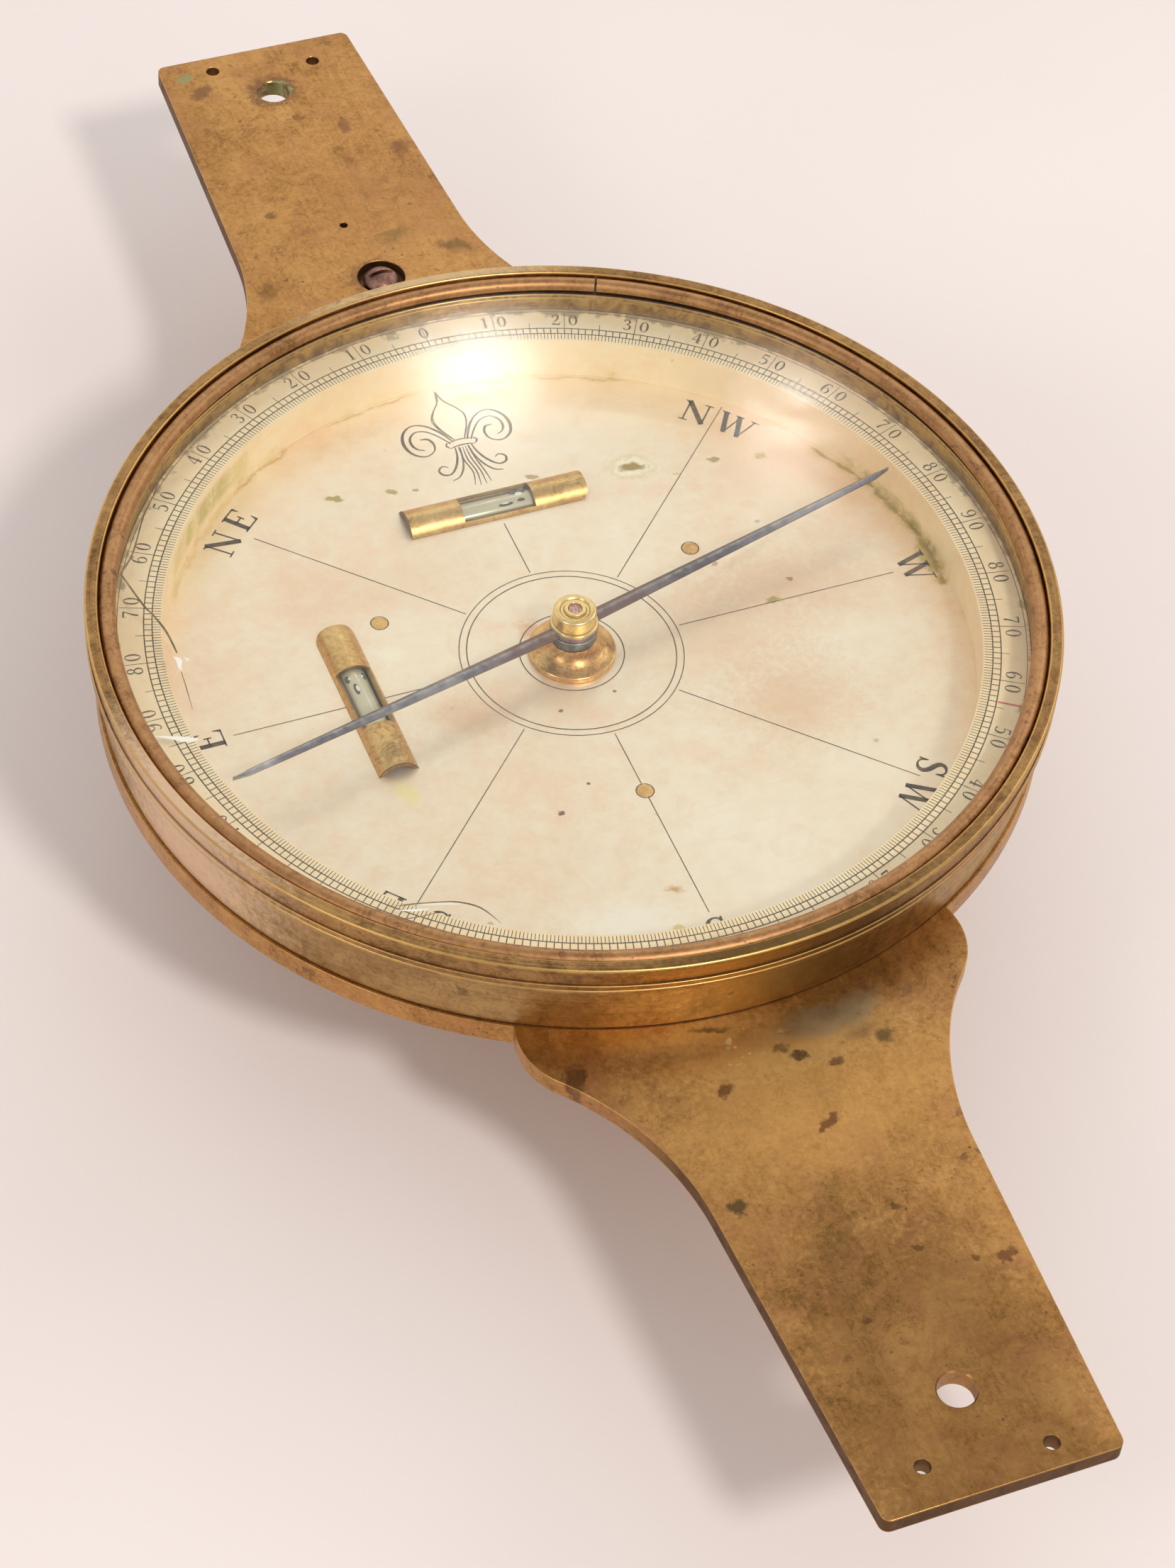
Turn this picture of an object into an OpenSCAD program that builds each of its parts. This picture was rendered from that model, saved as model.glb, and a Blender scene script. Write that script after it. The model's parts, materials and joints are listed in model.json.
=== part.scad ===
// Plain surveyor's compass: a long brass plate with two sight arms, a glazed compass box with a raised
// graduated ring, two spirit levels, a jewelled needle with its lifter, and a staff socket underneath.
// Millimetres, +Z up, +Y towards the north arm, origin at the centre of the socket's foot.

/* [Plate and arms] */
// Length over both arms
overall_len = 334.4; // [300:0.2:380]
// Width of the plate's rim outside the box wall
rim = 1; // [0.8:0.1:4]
// Thickness of the round middle
plate_t = 4.3; // [3.8:0.1:6]
// Thickness of the arms, flush with the middle on top
arm_t = 3.2; // [2.8:0.1:3.8]
// Width of an arm at its end
arm_end_w = 37.8; // [34:0.2:41]
// Width of an arm where the hollow curve starts
arm_waist_w = 42.4; // [41.5:0.2:48]
// Width over the two shoulders beside the box
shoulder_w = 74.2; // [68:0.2:84]
// Radius of a shoulder's round corner
shoulder_r = 12; // [8:0.5:14]
// Height of a shoulder's centre beyond the point where it meets the round middle
shoulder_rise = 4.1; // [2:0.1:6]
// Radius of the hollow curve between shoulder and arm
hollow_r = 48; // [40:1:52]
// Radius of an arm's end corners
arm_corner_r = 1.5; // [0.5:0.1:4]

/* [Sight holes] */
// Diameter of a sight's screw hole
vane_hole_d = 5.9; // [5:0.1:7]
// Distance of a sight's screw hole from the arm's end
vane_hole_in = 14.8; // [14:0.2:20]
// Shift of both screw holes towards the north end
vane_shift = 1.7; // [0:0.1:2.4]
// Diameter of a sight's two steady-pin holes
pin_hole_d = 2.4; // [1.6:0.1:3]
// Circle through the two steady-pin holes
pin_pcd = 19.2; // [16:0.2:24]
// Distance of that circle's centre from the arm's end
pin_in = 5.3; // [4.6:0.1:6.4]
// Sideways shift of that circle's centre
pin_shift = 0.5; // [0:0.1:1]
// Angle by which the pair of pin holes is turned out of square
pin_skew = 7.6; // [0:0.2:9]
// Diameter of the small mark hole on the north arm
mark_hole_d = 1.4; // [1:0.1:2.4]
// Distance of the mark hole from the lifter screw, towards the arm's end
mark_hole_off = 15.4; // [10:0.1:24]

/* [Compass box] */
// Outer diameter of the box wall
box_d = 154.4; // [138:0.2:172]
// Thickness of the box wall
box_wall = 2.2; // [2:0.1:2.6]
// Height of the box from the plate to the bezel's joint
box_h = 11.2; // [10.8:0.1:13]
// Width by which the bead at the top of the box stands out
lip_out = 2.1; // [1.4:0.1:2.6]
// Height of that bead
lip_h = 1.2; // [0.8:0.1:1.6]
// Height of the tongue that centres the bezel
tongue_h = 0.9; // [0.5:0.1:1.2]
// Thickness of the tongue
tongue_t = 1; // [0.7:0.05:1.2]
// Number of screws that hold the box
box_screw_n = 4; // [4:4:8]
// Diameter of a box screw
box_screw_d = 1.5; // [1.2:0.1:1.7]
// Depth of a box screw in the wall
box_screw_bite = 5; // [3:0.5:7]

/* [Bezel and glass] */
// Width by which the bezel stands out from the box wall
bezel_out = 2.2; // [1.6:0.1:2.8]
// Height of the bezel
bezel_h = 4.8; // [4.4:0.1:6]
// Radius of the bezel's rounded top edge
bezel_edge_r = 0.55; // [0.3:0.05:0.8]
// Depth of the band between the bezel's two beads
bezel_waist = 0.35; // [0.2:0.05:0.6]
// Height of the glass seat above the bezel's foot
glass_seat = 1.7; // [1.6:0.1:2]
// Width of the bezel's ledge under the glass
glass_lap = 2.2; // [1.8:0.1:2.6]
// Thickness of the glass
glass_t = 1.6; // [1.2:0.1:1.8]
// Width of the spring ring on the glass
spring_w = 2.9; // [2:0.1:3.4]
// Height of the spring ring
spring_h = 1.4; // [0.8:0.1:1.6]
// Gap where the spring ring is split
spring_gap = 0.4; // [0.3:0.1:2]

/* [Dial and graduated ring] */
// Thickness of the dial
dial_t = 1.25; // [1:0.05:1.5]
// Width of the graduated ring
limb_w = 7.98; // [7:0.02:9]
// Height of the graduated ring above the dial
limb_h = 8.2; // [7:0.1:8.6]
// Thickness of the ring's top
limb_top_t = 1.6; // [1.2:0.1:2.4]
// Thickness of the ring's skirt
limb_skirt_t = 2.6; // [2.4:0.1:4]
// Diameter of the screws that hold the ring
limb_screw_d = 1.4; // [1:0.1:1.6]
// Depth of those screws in the skirt
limb_screw_bite = 4; // [2:0.5:5]
// Diameter of the dial's three rivets
rivet_d = 2.8; // [2:0.1:3.2]
// Circle through the three rivets
rivet_pcd = 64.4; // [62:0.2:66]

/* [Spirit levels] */
// Length of a level's cover
level_len = 32.2; // [28:0.2:36]
// Width of a level's cover
level_w = 6.8; // [6.6:0.1:8]
// Wall of a level's cover
level_wall = 0.7; // [0.5:0.05:0.75]
// Height of a level's cover above the dial
level_rise = 2.2; // [2:0.1:2.6]
// Distance of a level from the centre
level_off = 36; // [36:0.2:38]
// Length of the window in the cover
window_len = 12.8; // [8:0.2:18]
// Width of the window
window_w = 5; // [4.4:0.1:5.2]
// Diameter of a vial
vial_d = 5.2; // [4.6:0.1:5.4]
// Room between a vial and its cover
vial_air = 0.1; // [0.05:0.05:0.2]
// Length of a vial
vial_len = 28; // [24:0.5:28]

/* [Needle and cap] */
// Gap between the needle's points and the graduated ring
needle_gap = 1.3; // [0.8:0.1:4]
// Thickness of the needle
needle_t = 0.9; // [0.6:0.05:1.1]
// Width of the needle beside its eye
needle_mid_w = 2.5; // [1.8:0.1:3.2]
// Width of the needle at the start of its point
needle_tip_w = 1.1; // [0.8:0.1:1.6]
// Length of the needle's point
needle_point = 3; // [2:0.5:5]
// Diameter of the needle's eye
eye_d = 8.1; // [8:0.1:9]
// Angle of the needle's east arm from +X
needle_rest = 13.9; // [0:0.1:30]
// Height of the needle's underside above the dial, at its middle
needle_rise = 6.2; // [6:0.05:6.4]
// Height by which the needle's points stand above its middle
needle_bend = 1.6; // [1:0.1:1.8]
// Diameter of the cap's drum at its foot
cap_d = 7.9; // [7.4:0.1:8]
// Diameter of the drum under its crown
cap_top_d = 6.9; // [6.4:0.1:7.2]
// Height of the wider band at the drum's foot
cap_band = 1.3; // [1:0.1:1.5]
// Height of the crown
cap_crown = 1; // [0.7:0.05:1.1]
// Height of the cap above the needle's underside
cap_h = 4.25; // [4.1:0.05:4.3]
// Diameter of the spigot that goes through the needle's eye
cap_spigot_d = 5.2; // [4.8:0.1:5.8]
// Diameter of the jewel
jewel_d = 2.2; // [1.8:0.1:2.6]
// Height of the jewel
jewel_h = 1.5; // [1.3:0.1:1.6]
// Depth of the jewel's hollow
jewel_cup = 0.6; // [0.4:0.05:0.8]
// Diameter of the steel collar under the cap
collar_d = 7.8; // [7.4:0.1:8.4]
// Thickness of the collar
collar_t = 2.4; // [2.2:0.05:2.6]
// Bore of the collar and of the cap
cap_bore_d = 3.2; // [2.8:0.1:3.6]

/* [Pivot and lifter] */
// Diameter of the pivot post
post_d = 5.2; // [4.6:0.1:5.6]
// Diameter of the steel pivot
pivot_d = 1.4; // [1:0.1:1.8]
// Depth of the steel pivot in the post
pivot_bite = 3; // [2:0.5:4]
// Diameter of the lifter's foot
sleeve_foot_d = 14.6; // [13.6:0.2:15.6]
// Thickness of the lifter's foot at its rim
sleeve_rim = 1.1; // [0.8:0.1:1.4]
// Diameter of the lifter's top
sleeve_top_d = 7.2; // [6.8:0.1:7.8]
// Travel by which the lifter takes the needle off its pivot
lift = 1; // [0.6:0.05:1]
// Diameter of the lifter's two push pins
push_d = 1.8; // [1.4:0.1:2]
// Circle through the two push pins
push_pcd = 10; // [9.4:0.1:10.4]
// Depth of the push pins in the lifter
push_bite = 1.2; // [0.8:0.1:1.4]
// Width of the lifter lever
lever_w = 8; // [6:0.2:9]
// Thickness of the lever
lever_t = 1.2; // [1:0.05:1.5]
// Gap between the plate and the lever at rest
lever_gap = 1.45; // [1.4:0.05:1.6]
// Outer diameter of the lever's ring
lever_ring_d = 14; // [13.4:0.2:15]
// Distance of the lever's pin from the centre
fulcrum_y = 50; // [44:1:56]
// Diameter of the lever's pin
fulcrum_pin_d = 1.6; // [1.2:0.1:1.8]
// Diameter of the lever's barrel on the pin
barrel_d = 3.5; // [3:0.1:3.7]
// Thickness of a bearing ear beside the lever
ear_t = 2.8; // [2:0.1:4]
// Length of a bearing's foot beyond its ear
foot_len = 6; // [5.4:0.2:8]
// Thickness of a bearing's foot
foot_t = 1.7; // [1.2:0.1:2.2]
// Depth of a bearing along the plate
bearing_w = 6.4; // [5.6:0.2:8]
// Diameter of a bearing's screw
bearing_screw_d = 2; // [1.6:0.1:2.4]
// Depth of a bearing's screw in the plate
bearing_screw_bite = 2.5; // [2:0.1:3]

/* [Lifter screw] */
// Distance of the lifter screw from the plate's round edge
lift_screw_off = 20.3; // [18:0.1:24]
// Distance of the lifter screw from the plate's middle line
lift_screw_x = 1.8; // [-1.8:0.1:1.8]
// Diameter of the lifter screw
lift_screw_d = 3.9; // [3:0.1:4.4]
// Diameter of its domed head
lift_head_d = 6.6; // [6:0.1:7.6]
// Diameter of the hole that the head stands in
lift_well_d = 8.6; // [8.2:0.1:9.4]
// Depth of that hole
lift_well = 1.8; // [1.5:0.1:2]
// Height of the head
lift_head_h = 1.9; // [1.6:0.1:2.6]
// Width of the head's slot
lift_slot = 0.9; // [0.6:0.1:1.2]
// Diameter of the boss under the arm
lift_boss_d = 12; // [10:0.5:14]
// Height of that boss
lift_boss_h = 2; // [1.4:0.1:2.2]

/* [Staff socket] */
// Height of the socket below the plate
socket_h = 36; // [32:0.5:50]
// Diameter of the socket's flange
flange_d = 54; // [53:0.5:60]
// Thickness of the flange
flange_t = 6.5; // [6.2:0.1:9]
// Wall of the socket's neck
socket_wall = 4.45; // [3.5:0.05:6]
// Width by which the bead round the foot stands out
foot_out = 2.5; // [2:0.1:5]
// Height of the bead round the foot
foot_bead = 3; // [2:0.1:4]
// Swell of the neck above the foot
swell = 0.6; // [0:0.1:1.5]
// Height of the collar under the flange
collar_h = 2.5; // [1.5:0.1:4]
// Depth of the socket's spigot in the flange
spigot_h = 1.6; // [1:0.1:1.8]
// Step from the neck to that spigot
spigot_step = 2; // [1.5:0.1:3]
// Width by which the collar under the flange stands out from the spigot
collar_out = 4; // [3:0.1:5]
// Bore for the staff head
staff_d = 19.1; // [18:0.1:20]
// Metal left between the staff bore and the flange
staff_cap = 2.5; // [1.5:0.1:4]
// Number of screws in the flange
flange_screw_n = 4; // [4:4:4]
// Distance of the flange screws from the flange's edge
flange_screw_in = 5.5; // [4.5:0.1:7]
// Diameter of a flange screw
flange_screw_d = 3; // [2.4:0.1:3.4]
// Depth of a flange screw in the plate
flange_screw_bite = 2.8; // [2:0.1:3.2]
// Height of the clamp screw above the foot
clamp_z = 14; // [12:0.5:16]
// Diameter of the clamp screw
clamp_d = 5; // [4:0.1:6]
// Diameter of the boss round the clamp screw
clamp_boss_d = 10; // [9:0.2:12]
// Length of the boss beyond the socket's neck
clamp_boss_len = 3; // [2:0.1:5]
// Diameter of the clamp screw's milled head
clamp_head_d = 13; // [11:0.5:16]
// Length of that head
clamp_head_len = 7; // [5:0.5:10]
// Travel left between head and boss
clamp_travel = 3; // [2:0.1:4]
// Number of flutes round the head
clamp_flute_n = 16; // [12:1:20]

/* [Fits] */
// Radial clearance of a turning or sliding fit
run_fit = 0.05; // [0.03:0.01:0.08]
// Radial clearance of a fixed fit
set_fit = 0.02; // [0.01:0.01:0.04]
// Room left between faces that move past each other
air = 0.3; // [0.2:0.05:0.35]
// Play left where one piece bears on another
play = 0.05; // [0.02:0.01:0.08]

/* [Hidden] */

$fn = 96;
eps = 0.01;
through = 1;

brass = "#a8884c";
bright_brass = "#c9a24a";
silvered = "#d8d0bc";
steel = "#6c7078";
brown_steel = "#7a4a38";
clear_glass = "#cfdcd8";
ruby = "#7c2434";

// Heights of the main faces
z_under = socket_h;
z_top = z_under + plate_t;
z_dial = z_top + dial_t;
z_joint = z_top + box_h;
z_glass = z_joint + glass_seat;
z_glass_top = z_glass + glass_t;
z_bezel_top = z_joint + bezel_h;
z_needle = z_dial + needle_rise;
z_cap_foot = z_needle;
z_collar = z_cap_foot - collar_t;
z_cap_top = z_needle + cap_h;
z_post = z_collar - 4 * play;
z_arm_under = z_top - arm_t;

// Radii that several pieces share
box_r = box_d / 2;
disc_r = box_r + rim;
lip_r = box_r + lip_out;
box_in_r = box_r - box_wall;
box_screw_r = box_r - box_wall / 2;
bezel_r = box_r + bezel_out;
glass_r = box_in_r + glass_lap;
glass_seat_r = glass_r + set_fit;
spring_out_r = glass_r;
limb_out_r = box_in_r - set_fit;
limb_in_r = limb_out_r - limb_w;
limb_screw_r = limb_in_r + limb_skirt_t / 2;
needle_r = limb_in_r - needle_gap;
sleeve_bore_r = post_d / 2 + run_fit;

// The arm's outline: shoulder and hollow centres, and the points where their circles meet
arm_len = overall_len / 2;
shoulder_x = shoulder_w / 2 - shoulder_r;
shoulder_y = sqrt(pow(disc_r, 2) - pow(shoulder_w / 2, 2)) + shoulder_rise;
hollow_x = arm_waist_w / 2 + hollow_r;
hollow_y = shoulder_y + sqrt(pow(hollow_r + shoulder_r, 2) - pow(hollow_x - shoulder_x, 2));
blend = shoulder_r / (hollow_r + shoulder_r);
blend_x = shoulder_x + (hollow_x - shoulder_x) * blend;
blend_y = shoulder_y + (hollow_y - shoulder_y) * blend;
end_dx = arm_end_w / 2 - hollow_x;
end_dy = arm_len - arm_corner_r - hollow_y;
waist_angle = atan2(end_dy, end_dx) + acos(hollow_r / norm([end_dx, end_dy]));
waist_x = hollow_x + hollow_r * cos(waist_angle);
waist_y = hollow_y + hollow_r * sin(waist_angle);

// Places along the arms
vane_hole_y = arm_len - vane_hole_in;
pin_y = arm_len - pin_in;
lift_screw_y = disc_r + lift_screw_off;
mark_hole_y = lift_screw_y + mark_hole_off;

// The lever and its bearings
z_lever_top = z_under - lever_gap;
z_lever = z_lever_top - lever_t;
z_pin = z_lever + lever_t / 2;
bearing_x = lever_w / 2 + air / 2;
bearing_screw_x = bearing_x + ear_t + foot_len / 2;

// The socket's inner faces
z_flange = z_under - flange_t;
slot_depth = lever_gap + lever_t + air;
neck_r = staff_d / 2 + socket_wall;
foot_r = neck_r + foot_out;
spigot_r = neck_r - spigot_step;
collar_r = spigot_r + collar_out;
flange_screw_r = flange_d / 2 - flange_screw_in;
clamp_boss_x = neck_r + clamp_boss_len;
clamp_head_x = clamp_boss_x + clamp_travel;

// A level's arched cover, and the vial that lies sunk under it
cover_r = (pow(level_w / 2, 2) + pow(level_rise, 2)) / (2 * level_rise);
z_cover = z_dial + level_rise - cover_r;
vial_r = vial_d / 2;
z_vial = z_dial + level_rise - level_wall - vial_air - vial_r;

// Small edges, points and angles
limb_screw_n = 4;
rivet_n = 3;
rivet_start = 30;
screw_start = 45;
spring_split = 66;
post_edge = 1;
post_wall = 0.8;
pivot_point = 2 * pivot_d;
pivot_tip_r = 0.08;
cap_edge = 0.2;
cap_step = 0.4;
cap_lip = 0.6;
jewel_edge = 0.2;
jewel_rim = 0.7;
collar_edge = 0.3;
flange_edge_r = 1;
clamp_flute_r = 0.9;

// Screw heads: a head is this much wider than its shank, and this share of it high
head_ratio = 1.9;
head_share = 0.55;

// Places children at even angles round a circle
module around(count, radius, start = 0) {
    for (i = [0 : count - 1])
        rotate([0, 0, start + i * 360 / count])
            translate([radius, 0, 0])
                children();
}

// Places children twice, point-symmetric about the centre
module both_arms() {
    for (turn = [0, 180])
        rotate([0, 0, turn])
            children();
}

// A flush screw from below: a shank of length len on a countersunk head that starts at z = 0
module flush_screw(d, len) {
    head_r = d * head_ratio / 2;
    cylinder(h = len, r = d / 2);
    cylinder(h = head_r - d / 2, r1 = head_r, r2 = d / 2);
}

// The room that a flush screw needs
module flush_hole(d, len) {
    head_r = d * head_ratio / 2 + set_fit;
    cylinder(h = len + set_fit, r = d / 2 + set_fit);
    cylinder(h = head_r - d / 2, r1 = head_r, r2 = d / 2);
    translate([0, 0, -through])
        cylinder(h = through + eps, r = head_r);
}

module screws_of_box() {
    translate([0, 0, z_under])
        around(box_screw_n, box_screw_r, screw_start)
            children();
}

module screws_of_ring() {
    translate([0, 0, z_under])
        around(limb_screw_n, limb_screw_r)
            children();
}

module screws_of_flange() {
    translate([0, 0, z_flange])
        around(flange_screw_n, flange_screw_r, screw_start)
            children();
}

module rivet_places() {
    translate([0, 0, z_under])
        around(rivet_n, rivet_pcd / 2, rivet_start)
            children();
}

module push_places() {
    around(2, push_pcd / 2)
        children();
}

module bearing_places() {
    translate([0, fulcrum_y, z_under])
        for (side = [1, -1])
            translate([side * bearing_screw_x, 0, 0])
                children();
}

// One arm's outline, from the plate's centre to the arm's end
module arm_outline() {
    end_x = arm_end_w / 2;
    difference() {
        union() {
            polygon([
                [-end_x + arm_corner_r, arm_len], [end_x - arm_corner_r, arm_len],
                [end_x, arm_len - arm_corner_r], [waist_x, waist_y], [blend_x, blend_y],
                [shoulder_x, shoulder_y], [shoulder_x, 0], [-shoulder_x, 0], [-shoulder_x, shoulder_y],
                [-blend_x, blend_y], [-waist_x, waist_y], [-end_x, arm_len - arm_corner_r]
            ]);
            for (side = [1, -1]) {
                translate([side * shoulder_x, shoulder_y])
                    circle(r = shoulder_r);
                translate([side * (end_x - arm_corner_r), arm_len - arm_corner_r])
                    circle(r = arm_corner_r);
            }
        }
        for (side = [1, -1])
            translate([side * hollow_x, hollow_y])
                circle(r = hollow_r);
    }
}

module pin_holes() {
    translate([pin_shift, pin_y, 0])
        rotate([0, 0, -pin_skew])
            around(2, pin_pcd / 2)
                cylinder(h = plate_t + 2 * through, d = pin_hole_d);
}

module lifter_well() {
    translate([lift_screw_x, lift_screw_y, 0]) {
        translate([0, 0, z_top - lift_well])
            cylinder(h = lift_well + through, d = lift_well_d);
        translate([0, 0, z_arm_under - lift_boss_h - through])
            cylinder(h = plate_t + lift_boss_h + through, r = lift_screw_d / 2 + run_fit);
    }
}

module main_plate() {
    color(brass)
    difference() {
        union() {
            translate([0, 0, z_under])
                cylinder(h = plate_t, r = disc_r, $fn = 180);
            both_arms()
                translate([0, 0, z_arm_under])
                    linear_extrude(arm_t)
                        arm_outline();
            translate([lift_screw_x, lift_screw_y, z_arm_under - lift_boss_h])
                cylinder(h = lift_boss_h + eps, d = lift_boss_d);
        }
        for (side = [1, -1])
            translate([0, side * vane_hole_y + vane_shift, z_under - through])
                cylinder(h = plate_t + 2 * through, d = vane_hole_d);
        both_arms()
            translate([0, 0, z_under - through])
                pin_holes();
        translate([0, mark_hole_y, z_under - through])
            cylinder(h = plate_t + 2 * through, d = mark_hole_d);
        lifter_well();
        translate([0, 0, z_under - through])
            cylinder(h = plate_t + 2 * through, r = post_d / 2 + set_fit);
        translate([0, 0, z_under - through])
            push_places()
                cylinder(h = plate_t + 2 * through, r = push_d / 2 + 2 * run_fit);
        screws_of_box()
            flush_hole(box_screw_d, plate_t + through);
        screws_of_ring()
            flush_hole(limb_screw_d, plate_t + through);
        rivet_places()
            translate([0, 0, -through])
                cylinder(h = plate_t + 2 * through, r = rivet_d / 2 + set_fit);
        screws_of_flange()
            cylinder(h = flange_t + flange_screw_bite + set_fit, r = flange_screw_d / 2 + set_fit);
        bearing_places()
            translate([0, 0, -eps])
                cylinder(h = bearing_screw_bite + eps + set_fit, r = bearing_screw_d / 2 + set_fit);
        for (east = [false, true])
            level_place(east)
                vial_slot();
    }
}

module compass_box() {
    bead_r = lip_h / 2;
    color(brass)
    difference() {
        rotate_extrude($fn = 180)
            union() {
                translate([box_in_r, z_top])
                    square([box_wall, box_h]);
                translate([box_in_r, z_joint - eps])
                    square([tongue_t, tongue_h + eps]);
                translate([box_r - eps, z_joint - lip_h])
                    square([lip_out - bead_r + eps, lip_h]);
                translate([lip_r - bead_r, z_joint - bead_r])
                    circle(r = bead_r, $fn = 32);
            }
        screws_of_box()
            flush_hole(box_screw_d, plate_t + box_screw_bite);
    }
}

module box_screws() {
    color(brass)
    screws_of_box()
        flush_screw(box_screw_d, plate_t + box_screw_bite);
}

// The slot under a level, through the dial and into the plate, in which its vial lies
module vial_slot() {
    z_floor = z_vial - vial_r - set_fit;
    translate([-vial_len / 2 - air, -vial_r - set_fit, z_floor])
        cube([vial_len + 2 * air, vial_d + 2 * set_fit, z_dial + through - z_floor]);
}

// Places children at the north level, or at the east level
module level_place(east = false) {
    rotate([0, 0, east ? 90 : 0])
        translate([0, level_off, 0])
            children();
}

module dial_plate() {
    color(silvered)
    difference() {
        translate([0, 0, z_top])
            cylinder(h = dial_t, r = limb_out_r, $fn = 180);
        translate([0, 0, z_top - through])
            cylinder(h = dial_t + 2 * through, r = post_d / 2 + set_fit);
        translate([0, 0, z_top - through])
            push_places()
                cylinder(h = dial_t + 2 * through, r = push_d / 2 + 2 * run_fit);
        rivet_places()
            cylinder(h = plate_t + dial_t + through, r = rivet_d / 2 + set_fit);
        screws_of_ring()
            cylinder(h = plate_t + dial_t + through, r = limb_screw_d / 2 + set_fit);
        for (east = [false, true])
            level_place(east)
                vial_slot();
    }
}

module dial_rivets() {
    color(bright_brass)
    rivet_places()
        cylinder(h = plate_t + dial_t, r = rivet_d / 2);
}

module graduated_ring() {
    color(silvered)
    difference() {
        rotate_extrude($fn = 180)
            union() {
                translate([limb_in_r, z_dial])
                    square([limb_skirt_t, limb_h]);
                translate([limb_in_r, z_dial + limb_h - limb_top_t])
                    square([limb_out_r - limb_in_r, limb_top_t]);
            }
        screws_of_ring()
            cylinder(h = plate_t + dial_t + limb_screw_bite + set_fit, r = limb_screw_d / 2 + set_fit);
    }
}

module ring_screws() {
    color(brass)
    screws_of_ring()
        flush_screw(limb_screw_d, plate_t + dial_t + limb_screw_bite);
}

// A level's cover: an arched strip, open at both ends, with a window on top
module level_cover() {
    end = level_len / 2;
    color(bright_brass)
    difference() {
        translate([-end, 0, z_cover])
            rotate([0, 90, 0])
                cylinder(h = level_len, r = cover_r);
        translate([-end - through, 0, z_cover])
            rotate([0, 90, 0])
                cylinder(h = level_len + 2 * through, r = cover_r - level_wall);
        translate([-end - through, -2 * cover_r, z_dial - 4 * cover_r])
            cube([level_len + 2 * through, 4 * cover_r, 4 * cover_r]);
        translate([-window_len / 2, -window_w / 2, z_dial])
            cube([window_len, window_w, cover_r]);
    }
}

// A level's vial: a glass tube with round ends, sunk in its slot
module level_vial() {
    straight = vial_len - vial_d;
    color(clear_glass)
    translate([0, 0, z_vial])
        rotate([0, 90, 0])
            union() {
                translate([0, 0, -straight / 2])
                    cylinder(h = straight, r = vial_r);
                for (side = [1, -1])
                    translate([0, 0, side * straight / 2])
                        sphere(r = vial_r, $fn = 48);
            }
}

module level_cover_ew() {
    level_place()
        level_cover();
}

module level_cover_ns() {
    level_place(true)
        level_cover();
}

module level_vial_ew() {
    level_place()
        level_vial();
}

module level_vial_ns() {
    level_place(true)
        level_vial();
}

// The bezel's section: a rebate over the box's tongue, a ledge for the glass, and two beads outside
module bezel_section() {
    bead_r = lip_h / 2;
    top_r = bezel_edge_r;
    waist = bezel_waist;
    tongue_r = box_in_r + tongue_t + set_fit;
    difference() {
        union() {
            translate([box_in_r, z_joint])
                square([bezel_r - waist - box_in_r, bezel_h - top_r]);
            translate([bezel_r - 2 * bead_r, z_joint])
                square([bead_r, 2 * bead_r]);
            translate([bezel_r - bead_r, z_joint + bead_r])
                circle(r = bead_r, $fn = 32);
            translate([bezel_r - top_r, z_bezel_top - top_r])
                circle(r = top_r, $fn = 32);
            translate([glass_seat_r, z_bezel_top - 2 * top_r])
                square([bezel_r - top_r - glass_seat_r, 2 * top_r]);
        }
        translate([box_in_r - through, z_joint - through])
            square([tongue_r - box_in_r + through, tongue_h + set_fit + through]);
        translate([box_in_r - through, z_glass])
            square([glass_seat_r - box_in_r + through, bezel_h]);
    }
}

module bezel() {
    color(brass)
    rotate_extrude($fn = 180)
        bezel_section();
}

module glass() {
    color(clear_glass, 0.4)
    translate([0, 0, z_glass])
        cylinder(h = glass_t, r = glass_r, $fn = 180);
}

// A split half-round ring that springs into the bezel and holds the glass down
module spring_ring() {
    half_w = spring_w / 2;
    round_r = (half_w * half_w + spring_h * spring_h) / (2 * spring_h);
    color(brown_steel)
    difference() {
        rotate_extrude($fn = 180)
            intersection() {
                translate([spring_out_r - spring_w, z_glass_top])
                    square([spring_w, spring_h]);
                translate([spring_out_r - half_w, z_glass_top + spring_h - round_r])
                    circle(r = round_r, $fn = 64);
            }
        rotate([0, 0, spring_split])
            translate([spring_out_r - spring_w - through, -spring_gap / 2, z_glass_top - through])
                cube([spring_w + 2 * through, spring_gap, spring_h + 2 * through]);
    }
}

module pivot_post() {
    top_r = pivot_d / 2 + post_wall;
    shoulder = z_post - post_edge;
    color(bright_brass)
    difference() {
        rotate_extrude()
            polygon([
                [0, z_under], [post_d / 2, z_under], [post_d / 2, shoulder],
                [top_r, z_post], [0, z_post]
            ]);
        translate([0, 0, z_post - pivot_bite - set_fit])
            cylinder(h = pivot_bite + through, r = pivot_d / 2 + set_fit);
    }
}

module pivot_pin() {
    z_foot = z_post - pivot_bite;
    z_tip = z_cap_top - jewel_h + jewel_cup - play;
    color(steel)
    rotate_extrude()
        polygon([
            [0, z_foot], [pivot_d / 2, z_foot], [pivot_d / 2, z_tip - pivot_point], [pivot_tip_r, z_tip], [0, z_tip]
        ]);
}

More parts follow.
